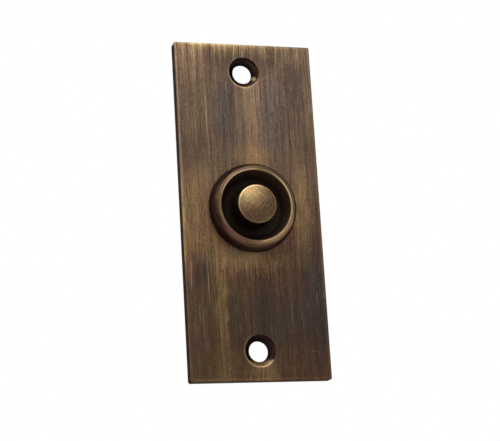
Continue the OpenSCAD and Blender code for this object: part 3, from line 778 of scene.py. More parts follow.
def worked_metal(name, tint, roughness, line_width, axis_offset=(0.0, 0.0, 0.0), tarnish=0.35):
    """Bright metal with the marks of the tool that made it and a little tarnish. axis_offset is where the part's
    own axis stands, for pairs that mirror each other."""
    material, tree, shader, where = start_material(name)
    mirrored = add_node(tree, "ShaderNodeVectorMath", {0: where.outputs["Place"]}, operation="ABSOLUTE")
    depth = add_node(tree, "ShaderNodeSeparateXYZ", {0: mirrored})
    upright = add_node(
        tree, "ShaderNodeCombineXYZ",
        {0: depth.outputs["X"], 1: where.outputs["Depth"], 2: depth.outputs["Z"]},
    )
    centred = add_node(tree, "ShaderNodeVectorMath", {0: upright, 1: axis_offset}, operation="SUBTRACT")
    rings = add_node(
        tree, "ShaderNodeGroup", {"Place": centred, "Line width": line_width, "Turns to a line": 1.5},
        node_tree=shared_group("Turned lines", build_turned),
    )
    bloom = add_node(
        tree, "ShaderNodeTexNoise",
        {"Vector": where.outputs["Place"], "Scale": 0.7, "Detail": 5.0, "Roughness": 0.6},
    )
    dull = add_node(
        tree, "ShaderNodeMapRange",
        {"Value": bloom, "From Min": 0.45, "From Max": 0.7, "To Min": 0.0, "To Max": tarnish},
    )
    toned = add_node(tree, "ShaderNodeMath", {0: rings, 1: 0.25, 2: dull}, operation="MULTIPLY_ADD")
    darker = [c * 0.45 for c in tint[:3]] + [1.0]
    finish = add_node(tree, "ShaderNodeMix", {"Factor": toned, "A": tuple(tint), "B": darker}, data_type="RGBA")
    tree.links.new(next(s for s in finish.outputs if s.enabled), shader.inputs["Base Color"])
    rough = add_node(tree, "ShaderNodeMath", {0: dull, 1: 0.5, 2: roughness}, operation="MULTIPLY_ADD")
    tree.links.new(rough.outputs[0], shader.inputs["Roughness"])
    shader.inputs["Metallic"].default_value = 1.0
    give_relief(tree, shader, rings, 0.012)
    return material


def moulded_phenolic():
    """Black phenolic, moulded under heat: glossy skin with faint brown flecks of its wood-flour filler."""
    tint = colours()
    material, tree, shader, where = start_material("moulded_phenolic")
    flecks = add_node(tree, "ShaderNodeTexVoronoi", {"Vector": where.outputs["Place"], "Scale": 5.0})
    amount = add_node(
        tree, "ShaderNodeMapRange",
        {"Value": flecks.outputs["Distance"], "From Min": 0.22, "From Max": 0.05, "To Min": 0.0, "To Max": 0.5},
    )
    finish = add_node(
        tree, "ShaderNodeMix", {"Factor": amount, "A": tint.phenolic, "B": linear("#3d2f25")}, data_type="RGBA"
    )
    tree.links.new(next(s for s in finish.outputs if s.enabled), shader.inputs["Base Color"])
    flow = add_node(
        tree, "ShaderNodeTexNoise", {"Vector": where.outputs["Place"], "Scale": 0.8, "Detail": 5.0, "Roughness": 0.6}
    )
    rough = add_node(
        tree, "ShaderNodeMapRange", {"Value": flow, "From Min": 0.3, "From Max": 0.7, "To Min": 0.24, "To Max": 0.46}
    )
    tree.links.new(rough.outputs[0], shader.inputs["Roughness"])
    shader.inputs["Specular IOR Level"].default_value = 0.28
    give_relief(tree, shader, flow, 0.02)
    return material


def pressed_fibre(name, tint):
    """Vulcanised fibre sheet: cotton rag pressed hard, with a felted grain and slightly furry cut edges."""
    material, tree, shader, where = start_material(name)
    grain = add_node(
        tree, "ShaderNodeTexNoise", {"Vector": where.outputs["Place"], "Scale": 3.0, "Detail": 6.0, "Roughness": 0.7}
    )
    layers = add_node(
        tree, "ShaderNodeVectorMath", {0: where.outputs["Place"], 1: (1.2, 9.0, 1.2)}, operation="MULTIPLY"
    )
    plies = add_node(tree, "ShaderNodeTexNoise", {"Vector": layers, "Scale": 1.0, "Detail": 3.0})
    blend = add_node(tree, "ShaderNodeMath", {0: grain, 1: plies}, operation="MULTIPLY")
    amount = add_node(
        tree, "ShaderNodeMapRange", {"Value": blend, "From Min": 0.12, "From Max": 0.4, "To Min": 0.0, "To Max": 1.0}
    )
    darker = [c * 0.55 for c in tint[:3]] + [1.0]
    lighter = [min(1.0, c * 1.35) for c in tint[:3]] + [1.0]
    finish = add_node(tree, "ShaderNodeMix", {"Factor": amount, "A": darker, "B": lighter}, data_type="RGBA")
    tree.links.new(next(s for s in finish.outputs if s.enabled), shader.inputs["Base Color"])
    shader.inputs["Roughness"].default_value = 0.72
    give_relief(tree, shader, grain, 0.04)
    return material


def turned_bush():
    """Pale insulating rod, turned: fine rings with a faint stain from handling."""
    tint = colours()
    material, tree, shader, where = start_material("turned_insulator")
    rings = add_node(
        tree, "ShaderNodeGroup", {"Place": where.outputs["Place"], "Line width": 0.12, "Turns to a line": 1.0},
        node_tree=shared_group("Turned lines", build_turned),
    )
    finish = add_node(
        tree, "ShaderNodeMix", {"Factor": rings, "A": tint.bush, "B": linear("#a8986d")}, data_type="RGBA"
    )
    tree.links.new(next(s for s in finish.outputs if s.enabled), shader.inputs["Base Color"])
    shader.inputs["Roughness"].default_value = 0.48
    give_relief(tree, shader, rings, 0.015)
    return material


def rolled_bronze():
    """Phosphor bronze strip: rolled along its length, warm and slightly tarnished."""
    tint = colours()
    material, tree, shader, where = start_material("rolled_phosphor_bronze")
    along = add_node(
        tree, "ShaderNodeVectorMath", {0: where.outputs["Place"], 1: (0.15, 0.15, 14.0)}, operation="MULTIPLY"
    )
    rolled = add_node(tree, "ShaderNodeTexNoise", {"Vector": along, "Scale": 1.0, "Detail": 2.0})
    bloom = add_node(
        tree, "ShaderNodeTexNoise", {"Vector": where.outputs["Place"], "Scale": 0.5, "Detail": 4.0, "Roughness": 0.6}
    )
    mixed = add_node(tree, "ShaderNodeMath", {0: rolled, 1: bloom}, operation="MULTIPLY")
    amount = add_node(
        tree, "ShaderNodeMapRange", {"Value": mixed, "From Min": 0.15, "From Max": 0.42, "To Min": 0.0, "To Max": 1.0}
    )
    finish = add_node(
        tree, "ShaderNodeMix", {"Factor": amount, "A": linear("#9a6b42"), "B": tint.bronze}, data_type="RGBA"
    )
    tree.links.new(next(s for s in finish.outputs if s.enabled), shader.inputs["Base Color"])
    rough = add_node(
        tree, "ShaderNodeMapRange", {"Value": amount, "From Min": 0.0, "From Max": 1.0, "To Min": 0.42, "To Max": 0.26}
    )
    tree.links.new(rough.outputs[0], shader.inputs["Roughness"])
    shader.inputs["Metallic"].default_value = 1.0
    give_relief(tree, shader, rolled, 0.01)
    return material


def shared_material(name, build, *details):
    """Fetches a material by name, building it the first time."""
    return bpy.data.materials.get(name) or build(*details)


# Shapes


def rounded_profile(corners, closed=True, segments=4):
    """Rounds a section's corners. Each corner is (radius, depth, rounding), in millimetres."""
    points = []
    count = len(corners)
    for i, (r, y, rounding) in enumerate(corners):
        here = Vector((r, y))
        if rounding == 0 or (not closed and i in (0, count - 1)):
            points.append(here)
            continue
        before = Vector(corners[i - 1][:2])
        after = Vector(corners[(i + 1) % count][:2])
        start = here + (before - here).normalized() * rounding
        end = here + (after - here).normalized() * rounding
        for k in range(segments + 1):
            t = k / segments
            points.append(start * (1 - t) ** 2 + here * 2 * t * (1 - t) + end * t * t)
    return [(p.x, p.y) for p in points]


def ring_rows(profile, steps):
    """A plain section as rows of points that all have one radius."""
    return [([r] * steps, y) for r, y in profile]


def surface_of_rows(name, rows, steps, closed=False):
    """Joins rows of points round the depth axis into a mesh. A row is (radii in millimetres, depth)."""
    shape = bmesh.new()
    rings = []
    for radii, y in rows:
        if max(radii) < 1e-6:
            rings.append([shape.verts.new((0.0, y * MM, 0.0))])
            continue
        ring = []
        for k in range(steps):
            angle = 2 * math.pi * k / steps
            ring.append(shape.verts.new((radii[k] * MM * math.cos(angle), y * MM, radii[k] * MM * math.sin(angle))))
        rings.append(ring)
    pairs = list(zip(rings, rings[1:]))
    if closed:
        pairs.append((rings[-1], rings[0]))
    for low, high in pairs:
        for k in range(steps):
            after = (k + 1) % steps
            corners = [low[k % len(low)], low[after % len(low)], high[after % len(high)], high[k % len(high)]]
            shape.faces.new(list(dict.fromkeys(corners)))
    bmesh.ops.recalc_face_normals(shape, faces=shape.faces)
    mesh = bpy.data.meshes.new(name)
    shape.to_mesh(mesh)
    shape.free()
    return mesh


def smooth_by_angle(mesh, degrees=32):
    """Smooth shading that keeps edges sharper than this angle."""
    mesh.polygons.foreach_set("use_smooth", [True] * len(mesh.polygons))
    mesh.set_sharp_from_angle(angle=math.radians(degrees))


def place_object(name, mesh):
    """Puts a mesh in the scene as an object at the origin."""
    piece = bpy.data.objects.new(name, mesh)
    bpy.context.scene.collection.objects.link(piece)
    return piece


def settle(piece, modifiers=()):
    """Turns an object with its modifiers into a plain mesh."""
    bpy.context.view_layer.update()
    graph = bpy.context.evaluated_depsgraph_get()
    mesh = bpy.data.meshes.new_from_object(piece.evaluated_get(graph))
    mesh.name = piece.name
    piece.modifiers.clear()
    piece.data = mesh
    return piece


def run_nodes(piece, tree, values):
    """Runs a Geometry Nodes tree once, with its inputs set by identifier, and keeps the plain mesh."""
    modifier = piece.modifiers.new(tree.name, "NODES")
    modifier.node_group = tree
    for item in tree.interface.items_tree:
        if item.in_out == "INPUT" and item.name in values:
            modifier[item.identifier] = values[item.name]
    return settle(piece)


def stand_for(piece, body, slot, *nodes):
    """Says what a piece moves with and hides the solids it stands for. slot, the finish it takes, is not used."""
    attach(piece, body)
    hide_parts(*nodes)


def dressed_copy(node, name, edge):
    """A copy of a solid with its triangles merged and its sharp edges rounded by edge metres."""
    mesh = NODES[node].data.copy()
    piece = place_object(name, mesh)
    shape = bmesh.new()
    shape.from_mesh(mesh)
    bmesh.ops.remove_doubles(shape, verts=shape.verts, dist=2e-7)
    bmesh.ops.dissolve_limit(
        shape, angle_limit=math.radians(0.4), verts=shape.verts, edges=shape.edges, delimit={"NORMAL"}
    )
    shape.to_mesh(mesh)
    shape.free()
    bevel = piece.modifiers.new("Edges", "BEVEL")
    bevel.width = edge
    bevel.segments = 2
    bevel.limit_method = "ANGLE"
    bevel.angle_limit = math.radians(35)
    bevel.miter_outer = "MITER_ARC"
    bevel.use_clamp_overlap = False
    settle(piece)
    smooth_by_angle(piece.data, 40)
    return piece


def build_pair(name):
    """Sets a shape down twice, the same distance either side of the push's axis."""
    tree, given, result = new_group(
        name, "GeometryNodeTree",
        [
            ("Shape", "NodeSocketGeometry", None), ("Offset", "NodeSocketVector", (0.0, 0.0, 0.0)),
            ("Finish", "NodeSocketMaterial", None),
        ],
        [("Pair", "NodeSocketGeometry")],
    )
    other = add_node(
        tree, "ShaderNodeVectorMath", {0: given.outputs["Offset"], "Scale": -1.0}, operation="SCALE"
    )
    spots = add_node(
        tree, "GeometryNodeMeshLine", {"Count": 2, "Start Location": other, 3: given.outputs["Offset"]},
        mode="END_POINTS",
    )
    both = add_node(
        tree, "GeometryNodeInstanceOnPoints", {"Points": spots, "Instance": given.outputs["Shape"]}
    )
    real = add_node(tree, "GeometryNodeRealizeInstances", {0: both})
    finished = add_node(
        tree, "GeometryNodeSetMaterial", {"Geometry": real, "Material": given.outputs["Finish"]}
    )
    tree.links.new(finished.outputs[0], result.inputs["Pair"])
    return tree


def build_spring(name):
    """A compression spring with closed ends: a spiral whose rise follows a curve, swept with round wire."""
    tree, given, result = new_group(
        name, "GeometryNodeTree",
        [
            ("Shape", "NodeSocketGeometry", None), ("Wire diameter", "NodeSocketFloat", 0.0004),
            ("Coil diameter", "NodeSocketFloat", 0.0046), ("Turns", "NodeSocketFloat", 5.0),
            ("Front", "NodeSocketFloat", 0.0), ("Seat", "NodeSocketFloat", 0.005),
            ("Finish", "NodeSocketMaterial", None),
        ],
        [("Spring", "NodeSocketGeometry")],
    )
    coil_r = add_node(tree, "ShaderNodeMath", {0: given.outputs["Coil diameter"], 1: 0.5}, operation="MULTIPLY")
    wire_r = add_node(tree, "ShaderNodeMath", {0: given.outputs["Wire diameter"], 1: 0.5}, operation="MULTIPLY")
    spiral = add_node(
        tree, "GeometryNodeCurveSpiral",
        {
            "Resolution": 48, "Rotations": given.outputs["Turns"], "Start Radius": coil_r, "End Radius": coil_r,
            "Height": 1.0,
        },
    )
    position = add_node(tree, "GeometryNodeInputPosition")
    parts = add_node(tree, "ShaderNodeSeparateXYZ", {0: position})
    rise = add_node(tree, "ShaderNodeFloatCurve", {"Value": parts.outputs["Z"]})
    curve = rise.mapping.curves[0]
    curve.points[0].location = (0.0, 0.0)
    curve.points[1].location = (1.0, 1.0)
    for at in ((0.15, 0.07), (0.32, 0.27), (0.68, 0.73), (0.85, 0.93)):
        curve.points.new(*at)
    rise.mapping.update()
    low = add_node(tree, "ShaderNodeMath", {0: given.outputs["Seat"], 1: wire_r}, operation="SUBTRACT")
    high = add_node(tree, "ShaderNodeMath", {0: given.outputs["Front"], 1: wire_r}, operation="ADD")
    depth = add_node(
        tree, "ShaderNodeMapRange",
        {"Value": rise, "From Min": 0.0, "From Max": 1.0, "To Min": low, "To Max": high},
    )
    stood = add_node(
        tree, "ShaderNodeCombineXYZ", {0: parts.outputs["X"], 1: depth, 2: parts.outputs["Y"]}
    )
    helix = add_node(tree, "GeometryNodeSetPosition", {"Geometry": spiral, "Position": stood})
    section = add_node(tree, "GeometryNodeCurvePrimitiveCircle", {"Resolution": 14, "Radius": wire_r}, mode="RADIUS")
    swept = add_node(
        tree, "GeometryNodeCurveToMesh", {"Curve": helix, "Profile Curve": section, "Fill Caps": True}
    )
    smooth = add_node(tree, "GeometryNodeSetShadeSmooth", {"Geometry": swept})
    real = add_node(tree, "GeometryNodeRealizeInstances", {0: smooth})
    finished = add_node(
        tree, "GeometryNodeSetMaterial", {"Geometry": real, "Material": given.outputs["Finish"]}
    )
    tree.links.new(finished.outputs[0], result.inputs["Spring"])
    return tree


def thread_rows(start, end, core_r, major_r, pitch, steps):
    """Rows of a rounded V thread that fades in under the head and out at the tip."""
    count = math.ceil((start - end) / pitch * 10)
    rows = []
    for i in range(1, count):
        y = start + (end - start) * i / count
        fade = min(1.0, (start - y) / pitch, (y - end) / pitch)
        radii = []
        for k in range(steps):
            turn = (y / pitch + k / steps) % 1.0
            ridge = min(1.0, max(0.0, 1.25 - abs(turn - 0.5) * 2.9))
            radii.append(core_r + (major_r - core_r) * ridge * fade)
        rows.append((radii, y))
    return rows


def slotted_screw(name, node, head_d, head_h, shank_d, pitch):
    """A slotted cheese-head screw with its thread cut, head and thread in one skin, along the depth axis."""
    steps = 36
    low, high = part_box(node)
    head_back = high.y / MM
    under_head = head_back - head_h
    tip = low.y / MM
    head_r = head_d / 2
    core_r = shank_d / 2 - 0.61 * pitch * 0.85
    crown = head_h * 0.35
    corners = [
        (0.0, head_back, 0.0), (head_r, head_back, crown), (head_r, under_head, 0.05),
        (core_r, under_head, 0.0),
    ]
    rows = ring_rows(rounded_profile(corners, closed=False, segments=5), steps)
    rows += thread_rows(under_head, tip + 0.35, core_r, shank_d / 2, pitch, steps)
    rows += ring_rows([(core_r, tip + 0.3), (core_r - 0.25, tip), (0.0, tip)], steps)
    piece = place_object(name, surface_of_rows(name, rows, steps))

    # The slot, sawn across the head
    cutter_mesh = bpy.data.meshes.new("slot_saw")
    cutter = place_object("slot_saw", cutter_mesh)
    saw = bmesh.new()
    bmesh.ops.create_cube(saw, size=1.0)
    slot = head_d * 0.15 * MM
    depth = head_h * 0.5 * MM
    saw.transform(Matrix.Diagonal((2 * head_d * MM, depth + MM, slot, 1.0)))
    saw.transform(Matrix.Translation((0.0, head_back * MM + (MM - depth) / 2, 0.0)))
    saw.to_mesh(cutter_mesh)
    saw.free()
    cut = piece.modifiers.new("Slot", "BOOLEAN")
    cut.object = cutter
    cut.operation = "DIFFERENCE"
    cut.solver = "EXACT"
    edges = piece.modifiers.new("Edges", "BEVEL")
    edges.width = 0.04 * MM
    edges.segments = 2
    edges.limit_method = "ANGLE"
    edges.angle_limit = math.radians(50)
    edges.use_clamp_overlap = False
    settle(piece)
    bpy.data.objects.remove(cutter)
    smooth_by_angle(piece.data, 42)
    return piece


# Operators


class FinishFacePlate(bpy.types.Operator):
    """Ease the edges of the cast plate, with its bezel, well and countersinks, and give it its aged brass"""

    bl_idname = "bell_push.face_plate"
    bl_label = "Face plate"

    def execute(self, context):
        plate = dressed_copy("face_plate", "cast_plate", sizes().cast_edge)
        plate.data.materials.clear()
        plate.data.materials.append(shared_material("cast_brass_antiqued", aged_brass_plate))
        stand_for(plate, "plate", "aged_brass_plate", "face_plate")
        return {"FINISHED"}


class FinishPushButton(bpy.types.Operator):
    """Turn the button with its domed head, flange and stem, in hand-brushed brass"""

    bl_idname = "bell_push.push_button"
    bl_label = "Push button"

    def execute(self, context):
        size = sizes()
        low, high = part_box("push_button")
        front = low.y / MM
        back = high.y / MM
        head_r = size.button_d / 2 / MM
        rim = size.button_rim / MM
        dome = size.dome_h / MM
        flat_r = head_r - rim
        dome_r = (flat_r * flat_r + dome * dome) / (2 * dome)
        profile = []
        for i in range(17):
            r = flat_r * i / 16
            profile.append((r, front + dome_r - math.sqrt(dome_r * dome_r - r * r)))
        edge_y = front + dome + rim
        for i in range(1, 7):
            turn = math.pi / 2 * i / 6
            profile.append((flat_r + rim * math.sin(turn), edge_y - rim * math.cos(turn)))
        flange_r = size.flange_d / 2 / MM
        stem_r = size.stem_d / 2 / MM
        flange_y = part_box("stop_washer")[1].y / MM
        behind = [
            (head_r, edge_y, 0.0), (head_r, flange_y, 0.08), (flange_r, flange_y, 0.1),
            (flange_r, flange_y + 1.0, 0.1), (stem_r, flange_y + 1.0, 0.1), (stem_r, back, 0.3), (0.0, back, 0.0),
        ]
        profile += rounded_profile(behind, closed=False)[1:]
        mesh = surface_of_rows("domed_button", ring_rows(profile, 96), 96)
        smooth_by_angle(mesh, 35)
        mesh.materials.append(shared_material("turned_brass_antiqued", aged_brass_button))
        stand_for(place_object("domed_button", mesh), "button", "aged_brass_button", "push_button")
        return {"FINISHED"}


class BuildContactStack(bpy.types.Operator):
    """Dress the washers, the bush and the disc that ride on the button's stem"""

    bl_idname = "bell_push.contact_stack"
    bl_label = "Contact stack"

    def execute(self, context):
        tint = colours()
        edge = sizes().pressed_edge
        red = shared_material("red_vulcanised_fibre", pressed_fibre, "red_vulcanised_fibre", tint.fibre_red)
        pieces = [
            ("stop_washer", "fibre_stop_washer", red, "red_fibre"),
            ("spring_washer", "fibre_spring_washer", red, "red_fibre"),
            ("insulating_bush", "shouldered_bush", shared_material("turned_insulator", turned_bush), "pale_insulator"),
            ("contact_disc", "pressed_disc", shared_material("rolled_phosphor_bronze", rolled_bronze), "phosphor_bronze"),
        ]
        for node, name, finish, slot in pieces:
            piece = dressed_copy(node, name, edge)
            piece.data.materials.clear()
            piece.data.materials.append(finish)
            stand_for(piece, "button", slot, node)
        return {"FINISHED"}


class BuildReturnSpring(bpy.types.Operator):
    """Wind the return spring"""

    bl_idname = "bell_push.return_spring"
    bl_label = "Return spring"

    def execute(self, context):
        size = sizes()
        low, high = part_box("return_spring")
        finish = shared_material(
            "drawn_spring_steel", worked_metal, "drawn_spring_steel", colours().spring_steel, 0.28, 0.1
        )
        spring = place_object("wound_spring", bpy.data.meshes.new("wound_spring"))
        run_nodes(
            spring, shared_group("Wound spring", build_spring),
            {
                "Wire diameter": size.wire_d, "Coil diameter": size.coil_d, "Turns": size.coil_turns,
                "Front": low.y, "Seat": high.y, "Finish": finish,
            },
        )
        stand_for(spring, "plate", "spring_steel", "return_spring")
        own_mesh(spring)
        return {"FINISHED"}


class BuildContactBlock(bpy.types.Operator):
    """Dress the moulded block and the gasket in front of it"""

    bl_idname = "bell_push.contact_block"
    bl_label = "Contact block"

    def execute(self, context):
        block = dressed_copy("contact_base", "moulded_block", sizes().moulded_edge)
        block.data.materials.clear()
        block.data.materials.append(shared_material("moulded_phenolic", moulded_phenolic))
        stand_for(block, "plate", "black_phenolic", "contact_base")
        gasket = dressed_copy("base_gasket", "fibre_gasket", sizes().pressed_edge)
        gasket.data.materials.clear()
        gasket.data.materials.append(
            shared_material("black_vulcanised_fibre", pressed_fibre, "black_vulcanised_fibre", colours().fibre_black)
        )
        stand_for(gasket, "plate", "black_fibre", "base_gasket")
        return {"FINISHED"}


class BuildContactStrips(bpy.types.Operator):
    """Dress the two bent strips and their silver points"""

    bl_idname = "bell_push.contact_strips"
    bl_label = "Contact strips and points"

    def execute(self, context):
        bronze = shared_material("rolled_phosphor_bronze", rolled_bronze)
        silver = shared_material(
            "silver_rivet", worked_metal, "silver_rivet", colours().silver, 0.22, 0.12, (5.4, 0.0, 0.0), 0.2
        )
        for side in ("left", "right"):
            strip = dressed_copy("contact_strip_" + side, "bent_strip_" + side, sizes().pressed_edge)
            strip.data.materials.clear()
            strip.data.materials.append(bronze)
            stand_for(strip, "plate", "phosphor_bronze", "contact_strip_" + side)
            node = "contact_point_" + side
            low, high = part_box(node)
            middle = (low + high) / 2
            head_r = (high.x - low.x) / 2 / MM
            front = low.y / MM
            back = high.y / MM
            corners = [
                (0.0, front, 0.0), (head_r * 0.75, front, 0.35), (head_r, front + 0.28, 0.1),
                (head_r, front + 0.5, 0.0), (head_r / 2, front + 0.5, 0.0), (head_r / 2, back, 0.05),
                (0.0, back, 0.0),
            ]
            rows = ring_rows(rounded_profile(corners, closed=False), 32)
            mesh = surface_of_rows("silver_point_" + side, rows, 32)
            mesh.transform(Matrix.Translation((middle.x, 0.0, middle.z)))
            smooth_by_angle(mesh, 50)
            point = place_object("silver_point_" + side, mesh)
            mesh.materials.append(silver)
            stand_for(point, "plate", "contact_silver", node)
        return {"FINISHED"}


class BuildTerminals(bpy.types.Operator):
    """Make the knurled inserts, the cup washers and the terminal screws, two of each"""

    bl_idname = "bell_push.terminals"
    bl_label = "Terminals"

    def execute(self, context):
        pair = shared_group("Pair", build_pair)
        finish = shared_material(
            "turned_bright_brass", worked_metal, "turned_bright_brass", colours().turned_brass, 0.26, 0.14, (7.4, 0.0, 0.0)
        )
        low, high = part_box("terminal_screws")
        head_r = (high.z - low.z) / 2
        spread = Vector((high.x - head_r, 0.0, 0.0))

        screw = slotted_screw(
            "terminal_screw_pair", "terminal_screws", 2 * head_r / MM, 1.8, 3.0, sizes().terminal_pitch / MM
        )
        run_nodes(screw, pair, {"Offset": spread, "Finish": finish})
        stand_for(screw, "plate", "turned_brass", "terminal_screws")

        low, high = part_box("terminal_washers")
        rim_r = (high.z - low.z) / 2 / MM
        front = low.y / MM
        back = high.y / MM
        corners = [
            (1.7, front, 0.05), (rim_r, front, 0.2), (rim_r, back, 0.12), (rim_r - 0.35, back, 0.08),
            (rim_r - 0.35, front + 0.5, 0.08), (1.7, front + 0.5, 0.05),
        ]
        mesh = surface_of_rows("cup_washer_pair", ring_rows(rounded_profile(corners), 48), 48, closed=True)
        smooth_by_angle(mesh, 50)
        washer = place_object("cup_washer_pair", mesh)
        run_nodes(washer, pair, {"Offset": spread, "Finish": finish})
        stand_for(washer, "plate", "turned_brass", "terminal_washers")

        low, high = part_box("terminal_inserts")
        outer = (high.z - low.z) / 2 / MM
        teeth = sizes().knurl_teeth
        steps = teeth * 4
        front = low.y / MM
        back = high.y / MM
        knurled = [outer - 0.1 * (1 - abs(math.cos(math.pi * k / 4))) for k in range(steps)]
        groove = [outer - 0.22] * steps
        plain = [outer - 0.14] * steps
        middle = (front + back) / 2
        rows = [
            ([1.53] * steps, front), (plain, front), (knurled, front + 0.15), (knurled, middle - 0.25),
            (groove, middle - 0.2), (groove, middle + 0.2), (knurled, middle + 0.25), (knurled, back - 0.15),
            (plain, back), ([1.6] * steps, back), ([1.53] * steps, back - 0.08),
        ]
        mesh = surface_of_rows("knurled_insert_pair", rows, steps, closed=True)
        smooth_by_angle(mesh, 28)
        insert = place_object("knurled_insert_pair", mesh)
        run_nodes(insert, pair, {"Offset": spread, "Finish": finish})
        stand_for(insert, "plate", "turned_brass", "terminal_inserts")
        return {"FINISHED"}


class BuildBlockScrews(bpy.types.Operator):
    """Make the screws and split washers that hold the block to the lugs"""

    bl_idname = "bell_push.block_screws"
    bl_label = "Block screws"

    def execute(self, context):
        pair = shared_group("Pair", build_pair)
        finish = shared_material(
            "zinc_plated_steel", worked_metal, "zinc_plated_steel", colours().zinc, 0.3, 0.13, (0.0, 0.0, 10.5), 0.25
        )
        low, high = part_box("base_screws")
        head_r = (high.x - low.x) / 2
        spread = Vector((0.0, 0.0, high.z - head_r))
        screw = slotted_screw(
            "block_screw_pair", "base_screws", 2 * head_r / MM, 1.5, 2.5, sizes().block_pitch / MM
        )
        run_nodes(screw, pair, {"Offset": spread, "Finish": finish})
        stand_for(screw, "plate", "plated_steel", "base_screws")
        washer = dressed_copy("base_lock_washers", "split_washer_pair", sizes().pressed_edge)
        washer.data.materials.clear()
        washer.data.materials.append(finish)
        stand_for(washer, "plate", "plated_steel", "base_lock_washers")
        return {"FINISHED"}


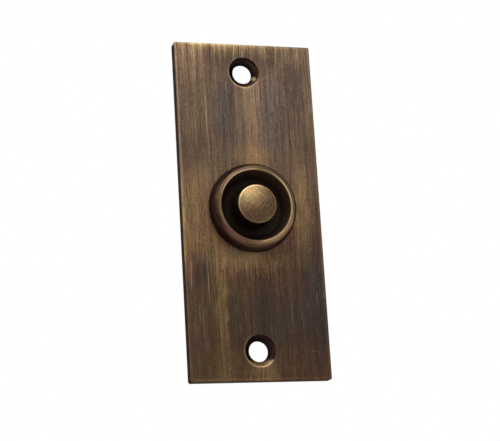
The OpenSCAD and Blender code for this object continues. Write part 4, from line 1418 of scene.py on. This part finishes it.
class BuildStudio(bpy.types.Operator):
    """Set the camera, the soft lights, the white surroundings and the pale floor"""

    bl_idname = "bell_push.studio"
    bl_label = "Studio"

    def execute(self, context):
        self.aim_camera(context)
        self.hang_lights(context)
        self.paint_surroundings(context)
        self.lay_floor(context)
        context.scene.view_settings.view_transform = "Standard"
        return {"FINISHED"}

    def aim_camera(self, context):
        """The push is seen from its lower left, 332 mm away, with the camera tipped a little."""
        yaw = math.radians(17.25)
        pitch = math.radians(13.17)
        roll = math.radians(-3.46)
        distance = 0.3315
        target = Vector((0.00011, 0.0, -0.00215))
        ahead = Vector((math.sin(yaw) * math.cos(pitch), math.cos(yaw) * math.cos(pitch), math.sin(pitch)))
        right = Vector((math.cos(yaw), -math.sin(yaw), 0.0))
        above = right.cross(ahead)
        across = math.cos(roll) * right + math.sin(roll) * above
        up = math.cos(roll) * above - math.sin(roll) * right
        camera = bpy.data.objects.new("camera", bpy.data.cameras.new("camera"))
        camera.data.sensor_width = 36.0
        camera.data.lens = light().lens
        camera.data.clip_start = 0.01
        camera.matrix_world = Matrix.LocRotScale(
            target - ahead * distance, Matrix((across, up, -ahead)).transposed().to_quaternion(), None
        )
        context.scene.collection.objects.link(camera)
        context.scene.camera = camera

    def hang_lights(self, context):
        lamps = [
            ("window", Vector((-0.05, -0.60, 0.68)), 0.75, 0.6, light().window),
            ("fill", Vector((-0.75, -0.65, 0.10)), 0.6, 0.6, light().fill),
        ]
        for name, place, width, height, power in lamps:
            lamp = bpy.data.lights.new(name, "AREA")
            lamp.shape = "RECTANGLE"
            lamp.size = width
            lamp.size_y = height
            lamp.energy = power
            holder = bpy.data.objects.new(name, lamp)
            holder.location = place
            holder.rotation_euler = (-place).to_track_quat("-Z", "Y").to_euler()
            context.scene.collection.objects.link(holder)

    def paint_surroundings(self, context):
        """White to the camera and in reflections, softer as diffuse light."""
        world = bpy.data.worlds.new("white_studio")
        world.use_nodes = True
        context.scene.world = world
        tree = world.node_tree
        tree.nodes.clear()
        rays = add_node(tree, "ShaderNodeLightPath")
        seen = add_node(
            tree, "ShaderNodeMath",
            {0: rays.outputs["Is Camera Ray"], 1: rays.outputs["Is Glossy Ray"]}, operation="MAXIMUM",
        )
        seen = add_node(
            tree, "ShaderNodeMath", {0: seen, 1: rays.outputs["Is Transmission Ray"]}, operation="MAXIMUM"
        )
        level = add_node(
            tree, "ShaderNodeMapRange",
            {"Value": seen, "From Min": 0.0, "From Max": 1.0, "To Min": light().soft_sky, "To Max": 1.0},
        )
        white = add_node(tree, "ShaderNodeBackground", {"Color": WHITE, "Strength": level})
        add_node(tree, "ShaderNodeOutputWorld", {"Surface": white})

    def lay_floor(self, context):
        mesh = bpy.data.meshes.new("floor")
        z = light().floor_z
        mesh.from_pydata([(-3, -3, z), (3, -3, z), (3, 3, z), (-3, 3, z)], [], [(0, 1, 2, 3)])
        floor = place_object("floor", mesh)
        material, tree, shader, where = start_material("matt_white_floor")
        speckle = add_node(
            tree, "ShaderNodeTexNoise", {"Vector": where.outputs["Place"], "Scale": 0.02, "Detail": 3.0}
        )
        tint = add_node(
            tree, "ShaderNodeMix", {"Factor": speckle, "A": colours().floor_mottle, "B": colours().floor},
            data_type="RGBA",
        )
        tree.links.new(next(s for s in tint.outputs if s.enabled), shader.inputs["Base Color"])
        shader.inputs["Roughness"].default_value = 0.9
        output = next(n for n in tree.nodes if n.type == "OUTPUT_MATERIAL")
        away = add_node(tree, "ShaderNodeVectorMath", {0: where.outputs["Place"]}, operation="LENGTH")
        far = add_node(
            tree, "ShaderNodeMapRange",
            {"Value": away.outputs["Value"], "From Min": 200.0, "From Max": 700.0, "To Min": 0.0, "To Max": 1.0},
            interpolation_type="SMOOTHSTEP",
        )
        clear = add_node(tree, "ShaderNodeBsdfTransparent")
        faded = add_node(tree, "ShaderNodeMixShader", {0: far, 1: shader, 2: clear})
        tree.links.new(faded.outputs[0], output.inputs["Surface"])
        mesh.materials.append(material)


class BellPushPanel(bpy.types.Panel):
    """Lists what can be built and what can be changed"""

    bl_idname = "VIEW3D_PT_bell_push"
    bl_label = "Bell push"
    bl_space_type = "VIEW_3D"
    bl_region_type = "UI"
    bl_category = "Bell push"

    def draw(self, context):
        layout = self.layout
        for operator in OPERATORS:
            layout.operator(operator.bl_idname)
        for group in (sizes(), colours(), light()):
            box = layout.box()
            for name in group.__annotations__:
                box.prop(group, name)


GROUPS = (BellPushSizes, BellPushColours, BellPushLight)
OPERATORS = (
    FinishFacePlate, FinishPushButton, BuildContactStack, BuildReturnSpring, BuildContactBlock,
    BuildContactStrips, BuildTerminals, BuildBlockScrews, BuildStudio,
)


def register():
    for item in (*GROUPS, *OPERATORS, BellPushPanel):
        bpy.utils.register_class(item)
    bpy.types.Scene.bell_push_sizes = bpy.props.PointerProperty(type=BellPushSizes)
    bpy.types.Scene.bell_push_colours = bpy.props.PointerProperty(type=BellPushColours)
    bpy.types.Scene.bell_push_light = bpy.props.PointerProperty(type=BellPushLight)


def unregister():
    del bpy.types.Scene.bell_push_light
    del bpy.types.Scene.bell_push_colours
    del bpy.types.Scene.bell_push_sizes
    for item in (BellPushPanel, *reversed(OPERATORS), *reversed(GROUPS)):
        bpy.utils.unregister_class(item)


def main():
    register()
    bpy.ops.bell_push.face_plate()
    bpy.ops.bell_push.push_button()
    bpy.ops.bell_push.contact_stack()
    bpy.ops.bell_push.return_spring()
    bpy.ops.bell_push.contact_block()
    bpy.ops.bell_push.contact_strips()
    bpy.ops.bell_push.terminals()
    bpy.ops.bell_push.block_screws()
    bpy.ops.bell_push.studio()


if __name__ == "__main__":
    main()
